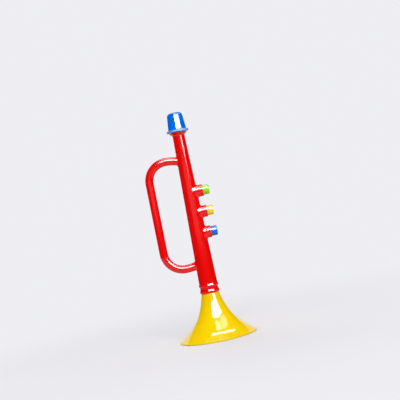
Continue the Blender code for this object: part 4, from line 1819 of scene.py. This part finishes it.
@dataclass
class Valve:
    """One push valve: its cap and stem, its seal pad and its return spring."""

    levels: Levels
    body: Body
    tone: ValveTone
    cap_slot: str
    crown: float = 0.00022
    crown_steps: int = 8
    cap_round: float = 0.0007
    cap_wall: float = 0.0008
    cap_thickness: float = 0.0012
    stem_radius: float = 0.0011
    neck_radius: float = 0.0006
    tip_length: float = 0.001
    edge: float = 0.00015
    pad_lap: float = 0.001
    wire_radius: float = 0.0002
    wire_sides: int = 12
    spring_turns: int = 5
    closed_turns: float = 0.75
    closed_pitch: float = 0.00045
    points_per_turn: int = 32
    sides: int = 88
    cap_end: float = field(init=False)
    cap_radius: float = field(init=False)
    height: float = field(init=False)

    def __post_init__(self) -> None:
        """Read the cap's reach, radius and height from the frame."""
        low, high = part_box(f"valve_{self.tone.value}_button")
        self.cap_end = high.x - self.levels.axis_x
        self.cap_radius = (high.z - low.z) / 2
        self.height = (high.z + low.z) / 2

    @property
    def body_name(self) -> str:
        """Name of the body that the button rides on."""
        return f"{self.tone.value}_valve"

    @property
    def underside(self) -> float:
        """Distance from the trumpet's axis of the cap's underside."""
        return self.cap_end - self.cap_thickness

    @property
    def pad_outer(self) -> float:
        """Distance from the trumpet's axis of the pad's outer face."""
        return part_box(f"valve_{self.tone.value}_pad")[1].x - self.levels.axis_x

    @property
    def pad_inner(self) -> float:
        """Distance from the trumpet's axis of the pad's inner face."""
        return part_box(f"valve_{self.tone.value}_pad")[0].x - self.levels.axis_x

    def button_section(self, skirt_end: float) -> list[Point]:
        """Section of the button: crowned cap, skirt, stem, the pad's neck and the tip.

        Args:
            skirt_end: Distance from the trumpet's axis at which the skirt ends.

        Returns:
            The section's points.
        """
        inner = self.cap_radius - self.cap_wall
        neck_outer = self.pad_outer + FIT_GAP / 2
        neck_inner = self.pad_inner - FIT_GAP
        flat = self.cap_radius - self.cap_round
        dome = [(flat * step / self.crown_steps,
                 self.cap_end - self.crown * (step / self.crown_steps) ** 2)
                for step in range(self.crown_steps)]
        rest = rounded_section([
            Corner(*dome[-1]),
            Corner(self.cap_radius, self.cap_end - self.crown, self.cap_round),
            Corner(self.cap_radius, skirt_end, self.edge),
            Corner(inner, skirt_end, self.edge),
            Corner(inner, self.underside, self.edge * 2),
            Corner(self.stem_radius, self.underside, self.edge * 2),
            Corner(self.stem_radius, neck_outer, self.edge / 2),
            Corner(self.neck_radius, neck_outer),
            Corner(self.neck_radius, neck_inner),
            Corner(self.stem_radius, neck_inner, self.edge / 2),
            Corner(self.neck_radius, neck_inner - self.tip_length, self.edge * 2),
            Corner(0, neck_inner - self.tip_length),
        ], steps=7)
        return dome + rest[1:]

    def pad_section(self) -> list[Point]:
        """Section of the seal pad: a soft washer with rounded edges.

        Returns:
            The section's points, as a closed ring.
        """
        outer = self.body.stem_hole_radius + self.pad_lap
        inner = self.neck_radius + FIT_GAP
        return rounded_section([
            Corner(outer, self.pad_outer, self.edge),
            Corner(outer, self.pad_inner, self.edge * 2),
            Corner(inner, self.pad_inner, self.edge),
            Corner(inner, self.pad_outer, self.edge),
        ], closed=True)

    def spring_mesh(self, radius: float, start: float, end: float) -> bpy.types.Mesh:
        """Make the return spring as one unbroken wire with closed end turns.

        Args:
            radius: Radius of the coil's centre line.
            start: Distance from the trumpet's axis of the inner end's centre line.
            end: The same for the outer end.

        Returns:
            The wire, round the valve's axis.
        """
        turns = self.spring_turns + 2 * self.closed_turns
        open_pitch = (end - start - 2 * self.closed_turns * self.closed_pitch) / self.spring_turns
        count = round(turns * self.points_per_turn)
        path, sides = [], []
        for index in range(count + 1):
            turn = turns * index / count
            closed = min(turn, self.closed_turns) + max(turn - turns + self.closed_turns, 0)
            level = start + closed * self.closed_pitch + (turn - closed) * open_pitch
            outward = Vector((math.cos(math.tau * turn), math.sin(math.tau * turn), 0))
            path.append(outward * radius + Vector((0, 0, level)))
            sides.append(outward)
        return swept("spring", path, sides, self.wire_radius, even_angles(self.wire_sides))

    def build(self, cap: bpy.types.Material, seal: bpy.types.Material, steel: bpy.types.Material,
              travel: float) -> None:
        """Make the valve's pieces and put them on the trumpet.

        Args:
            cap: Finish of the cap and its stem.
            seal: Finish of the pad.
            steel: Finish of the spring.
            travel: How far the button can be pushed in.
        """
        colour, axis_x = self.tone.value, self.levels.axis_x
        on_axis = self.body.across_valve(self.height)
        skirt_end = self.body.floor_reach + FIT_GAP + travel
        button = turned("button", self.button_section(skirt_end), even_angles(self.sides), closed=False)
        place_piece(f"{colour}_cap", moved(button, on_axis), [cap],
                    Stand(self.body_name, f"valve_{colour}_button", self.cap_slot), axis_x)
        pad = turned("pad", self.pad_section(), even_angles(self.sides // 2), closed=True)
        place_piece(f"{colour}_seal", moved(pad, on_axis), [seal],
                    Stand(self.body_name, f"valve_{colour}_pad", "soft_seal"), axis_x)
        start = self.body.floor_reach + FIT_GAP + self.wire_radius
        end = self.underside - FIT_GAP - self.wire_radius
        radius = (self.body.stem_hole_radius + self.cap_radius - self.cap_wall) / 2
        wire = moved(self.spring_mesh(radius, start, end), on_axis)
        spring = place_piece(f"{colour}_coil", wire, [steel],
                             Stand("trumpet", f"valve_{colour}_spring", "spring_steel"), axis_x)
        fixed_end = start - self.wire_radius
        length = end + self.wire_radius - fixed_end
        axis_x + fixed_end
        (length - travel) / length
        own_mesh(spring)


# The studio


def direction(azimuth: float, elevation: float) -> Vector:
    """Give the direction away from the trumpet that two angles make.

    Args:
        azimuth: Angle round the trumpet; 0 is the side that the photograph shows.
        elevation: Angle above the level.

    Returns:
        The direction, one metre long.
    """
    return Vector((math.sin(azimuth) * math.cos(elevation), -math.cos(azimuth) * math.cos(elevation),
                   math.sin(elevation)))


@dataclass(frozen=True)
class Lamp:
    """A flat lamp, given by where it is seen from the trumpet and how bright its face is."""

    name: str
    azimuth: float
    elevation: float
    distance: float
    width: float
    height: float
    radiance: float
    use: LampUse
    shape: LampShape = LampShape.OBLONG
    turn: float = 0.0

    def build(self, target: Vector) -> None:
        """Hang the lamp in the studio, with its width level or turned by an angle.

        Args:
            target: Point that it faces.
        """
        away = direction(math.radians(self.azimuth), math.radians(self.elevation))
        across = (Vector((1, 0, 0)) - away * away.x).normalized()
        light = bpy.data.lights.new(self.name, "AREA")
        light.shape = self.shape.value
        light.size = self.width
        light.size_y = self.height
        area = self.width * self.height * (math.pi / 4 if self.shape is LampShape.OVAL else 1)
        light.energy = self.radiance * math.pi * area
        lamp = in_scene(self.name, light)
        axes = Matrix((across, away.cross(across), away)).transposed().to_4x4()
        turned_by = Matrix.Rotation(math.radians(self.turn), 4, "Z")
        lamp.matrix_world = Matrix.Translation(target + away * self.distance) @ axes @ turned_by
        lamp.visible_camera = False
        lamp.visible_diffuse = self.use is LampUse.LIGHT
        lamp.visible_glossy = self.use is LampUse.GLOSS
        lamp.visible_transmission = False
        LOG.info("lamp %s: %s", self.name, self.use.value)


@dataclass
class Studio:
    """A plain pale floor, soft light and the camera at the photograph's viewing angle."""

    levels: Levels
    floor_radius: float = 0.37
    floor_sides: int = 96
    floor_drop: float = 0.0001
    ambient: float = 0.60
    backdrop: Rgb = (0.935, 0.935, 0.95)
    floor_shade: Rgb = (0.925, 0.925, 0.94)
    cloth_colour: Rgb = (0.10, 0.10, 0.10)
    fold_colour: Rgb = (0.14, 0.14, 0.14)
    hood_radius: float = 1.6
    hood_sweep: float = math.radians(150)
    hood_low: float = math.radians(-25)
    hood_high: float = math.radians(89)
    hood_columns: int = 48
    hood_rows: int = 16
    camera_distance: float = 0.772
    camera_side: float = 0.0066
    camera_level: float = 0.1085
    camera_lean: float = math.radians(11.4)
    lens: float = 88.0
    sensor: float = 36.0
    clip_start: float = 0.00772
    clip_end: float = 16.0
    aim_level: float = 0.10

    def lamps(self) -> list[Lamp]:
        """List the lamps: a key and a back light, and the faces that only the gloss shows.

        Returns:
            The lamps.
        """
        return [
            Lamp("key", 12, 26, 2.4, 2.0, 1.8, 3.4, LampUse.LIGHT),
            Lamp("back", 205, 30, 2.4, 2.0, 1.8, 1.3, LampUse.LIGHT),
            Lamp("key_face", 23.5, 35.2, 0.6, 0.73, 0.34, 30.0, LampUse.GLOSS),
            Lamp("high_face", 8, 71, 0.6, 0.13, 0.27, 9.0, LampUse.GLOSS),
            Lamp("low_face", 38, 14, 0.72, 0.34, 0.12, 28.0, LampUse.GLOSS, LampShape.OVAL),
            Lamp("top_bar_left", -110, 83.6, 0.523, 0.153, 0.032, 24.0, LampUse.GLOSS, turn=-12),
            Lamp("top_bar_middle", 108, 79, 0.53, 0.16, 0.032, 24.0, LampUse.GLOSS, turn=20),
            Lamp("top_bar_right", 118, 61.7, 0.59, 0.19, 0.032, 24.0, LampUse.GLOSS, turn=48),
            Lamp("front_face", -2, 3, 0.9, 1.1, 0.135, 0.6, LampUse.GLOSS),
            Lamp("glow_face", 64, 60, 0.75, 0.62, 0.34, 5.0, LampUse.GLOSS, LampShape.OVAL),
        ]

    def stand(self, name: str, points: Sequence[Vector], faces: Sequence[Sequence[int]],
              material: bpy.types.Material) -> bpy.types.Object:
        """Put up a piece of the studio.

        Args:
            name: Name of the piece.
            points: Its points.
            faces: Its faces.
            material: Its material.

        Returns:
            The piece.
        """
        mesh = bpy.data.meshes.new(name)
        mesh.from_pydata([tuple(point) for point in points], [], faces)
        mesh.materials.append(material)
        piece = in_scene(name, mesh)
        return piece

    def build_floor(self) -> None:
        """Lay the floor just under the bell's rim."""
        points = [Vector((self.floor_radius * math.cos(angle), self.floor_radius * math.sin(angle),
                          -self.floor_drop)) for angle in even_angles(self.floor_sides)]
        paint = PaintedFloor("pale_floor", self.backdrop, self.floor_shade).make()
        self.stand("studio_floor", points, [range(self.floor_sides)], paint)

    def build_hood(self) -> None:
        """Put up the dark hood over the front of the studio, which only the gloss shows."""
        points, faces = [], []
        width = self.hood_columns + 1
        for row in range(self.hood_rows + 1):
            lift = self.hood_low + (self.hood_high - self.hood_low) * row / self.hood_rows
            for column in range(width):
                turn = self.hood_sweep * (2 * column / self.hood_columns - 1)
                points.append(direction(turn, lift) * self.hood_radius)
        for row in range(self.hood_rows):
            for column in range(self.hood_columns):
                first = row * width + column
                faces.append((first, first + 1, first + 1 + width, first + width))
        cloth = DarkCloth("hood_cloth", self.cloth_colour, self.fold_colour).make()
        hood = self.stand("studio_hood", points, faces, cloth)
        hood.visible_camera = False
        hood.visible_diffuse = False
        hood.visible_shadow = False
        hood.visible_transmission = False

    def build_world(self) -> None:
        """Fill the room with even light, behind a pale backdrop that the gloss shows too."""
        world = bpy.data.worlds.new("studio_world")
        bpy.context.scene.world = world
        graph = NodeGraph(world)
        colour = graph.mixed(graph.seen(), grey(self.ambient), linear(self.backdrop))
        background = graph.node("ShaderNodeBackground", None, {"Color": colour, "Strength": 1.0})
        graph.node("ShaderNodeOutputWorld", None, {"Surface": background})

    def build_camera(self) -> None:
        """Set up the camera, which leans by the angle at which the trumpet leans in the photograph."""
        data = bpy.data.cameras.new("photo_camera")
        data.lens = self.lens
        data.sensor_width = self.sensor
        data.clip_start = self.clip_start
        data.clip_end = self.clip_end
        camera = in_scene("photo_camera", data)
        right = Vector((math.cos(self.camera_lean), 0, -math.sin(self.camera_lean)))
        up = Vector((math.sin(self.camera_lean), 0, math.cos(self.camera_lean)))
        back = Vector((0, -1, 0))
        turn = Matrix((right, up, back)).transposed().to_4x4()
        place = Vector((self.levels.axis_x + self.camera_side, -self.camera_distance, self.camera_level))
        camera.matrix_world = Matrix.Translation(place) @ turn
        bpy.context.scene.camera = camera

    def build(self) -> None:
        """Set up the floor, the hood, the world, the lamps and the camera."""
        self.build_floor()
        self.build_hood()
        self.build_world()
        target = Vector((self.levels.axis_x, 0, self.aim_level))
        for lamp in self.lamps():
            lamp.build(target)
        self.build_camera()
        bpy.context.scene.view_settings.view_transform = "Standard"


RED = MouldedPlastic("red_plastic", (0.935, 0.0, 0.0), (0.90, 0.0, 0.0), roughness=0.12)
RED_INSIDE = MouldedPlastic("red_inside", (0.88, 0.02, 0.02), (0.84, 0.0, 0.0), roughness=0.38,
                            grain_depth=0.000006)
# Painted shade: the bell's upper flare, towards the neck, is painted a deeper yellow where less light
# falls on it.
YELLOW = MouldedPlastic("yellow_plastic", (0.99, 0.845, 0.0), (0.985, 0.825, 0.0), roughness=0.09,
                        roughness_spread=0.03, ripple_depth=0.000003,
                        tones=(PaintedLightShift(Measure.HEIGHT, 0.016, 0.034, (0.97, 0.79, 0.0), 0.8),))
CAP_YELLOW = MouldedPlastic("cap_yellow_plastic", (0.99, 0.85, 0.26), (0.97, 0.81, 0.18), roughness=0.11)
# Painted light: the flange's thin rim is painted a paler blue for the light that shines through its
# plastic.
BLUE = MouldedPlastic("blue_plastic", (0.0, 0.445, 0.90), (0.0, 0.405, 0.85), roughness=0.09,
                      roughness_spread=0.03, ripple_depth=0.000003,
                      tones=(PaintedLightShift(Measure.FROM_AXIS, 0.0073, 0.0079, (0.45, 0.72, 0.97), 0.42,
                                       dulling=0.50),))
CAP_BLUE = MouldedPlastic("cap_blue_plastic", (0.0, 0.43, 0.88), (0.0, 0.38, 0.82), roughness=0.11)
GREEN = MouldedPlastic("green_plastic", (0.60, 0.88, 0.0), (0.55, 0.84, 0.0), roughness=0.11)
CREAM = MouldedPlastic("cream_plastic", (0.90, 0.88, 0.80), (0.86, 0.84, 0.75), roughness=0.35)
STRIP = MouldedPlastic("reed_strip", (0.93, 0.93, 0.90), (0.90, 0.90, 0.86), roughness=0.25)
SEAL = SoftRubber("soft_seal", (0.16, 0.16, 0.17), (0.30, 0.30, 0.30))
STEEL = DrawnWire("spring_steel", (0.72, 0.73, 0.75), (0.60, 0.59, 0.57))


def main() -> None:
    """Load the frame and build the trumpet and the studio in order."""
    logging.basicConfig(level=logging.INFO, format="%(name)s: %(message)s")
    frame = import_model()
    levels = Levels.read(Body.handle_radius)
    caps = {
        ValveTone.GREEN: (GREEN, "green_plastic"),
        ValveTone.YELLOW: (CAP_YELLOW, "cap_yellow_plastic"),
        ValveTone.BLUE: (CAP_BLUE, "blue_plastic"),
    }
    boxes = [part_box(f"valve_{tone.value}_button") for tone in ValveTone]
    body = Body(levels, [(low.z + high.z) / 2 for low, high in boxes])
    body.build(RED.make(levels.axis_x), RED_INSIDE.make(levels.axis_x))
    Bell(levels, body).build(YELLOW.make(levels.axis_x))
    cup = Mouthpiece(levels, body)
    cup.build(BLUE.make(levels.axis_x))
    ReedUnit(levels, body, cup).build(CREAM.make(levels.axis_x), STRIP.make(levels.axis_x))
    seal, steel = SEAL.make(), STEEL.make()
    travels = {joint["name"]: joint["range_m"][1] for joint in frame["joints"]}
    for tone, (finish, slot) in caps.items():
        valve = Valve(levels, body, tone, slot)
        valve.build(finish.make(levels.axis_x), seal, steel, travels[f"{tone.value}_valve_press"])
    Studio(levels).build()


if __name__ == "__main__":
    main()
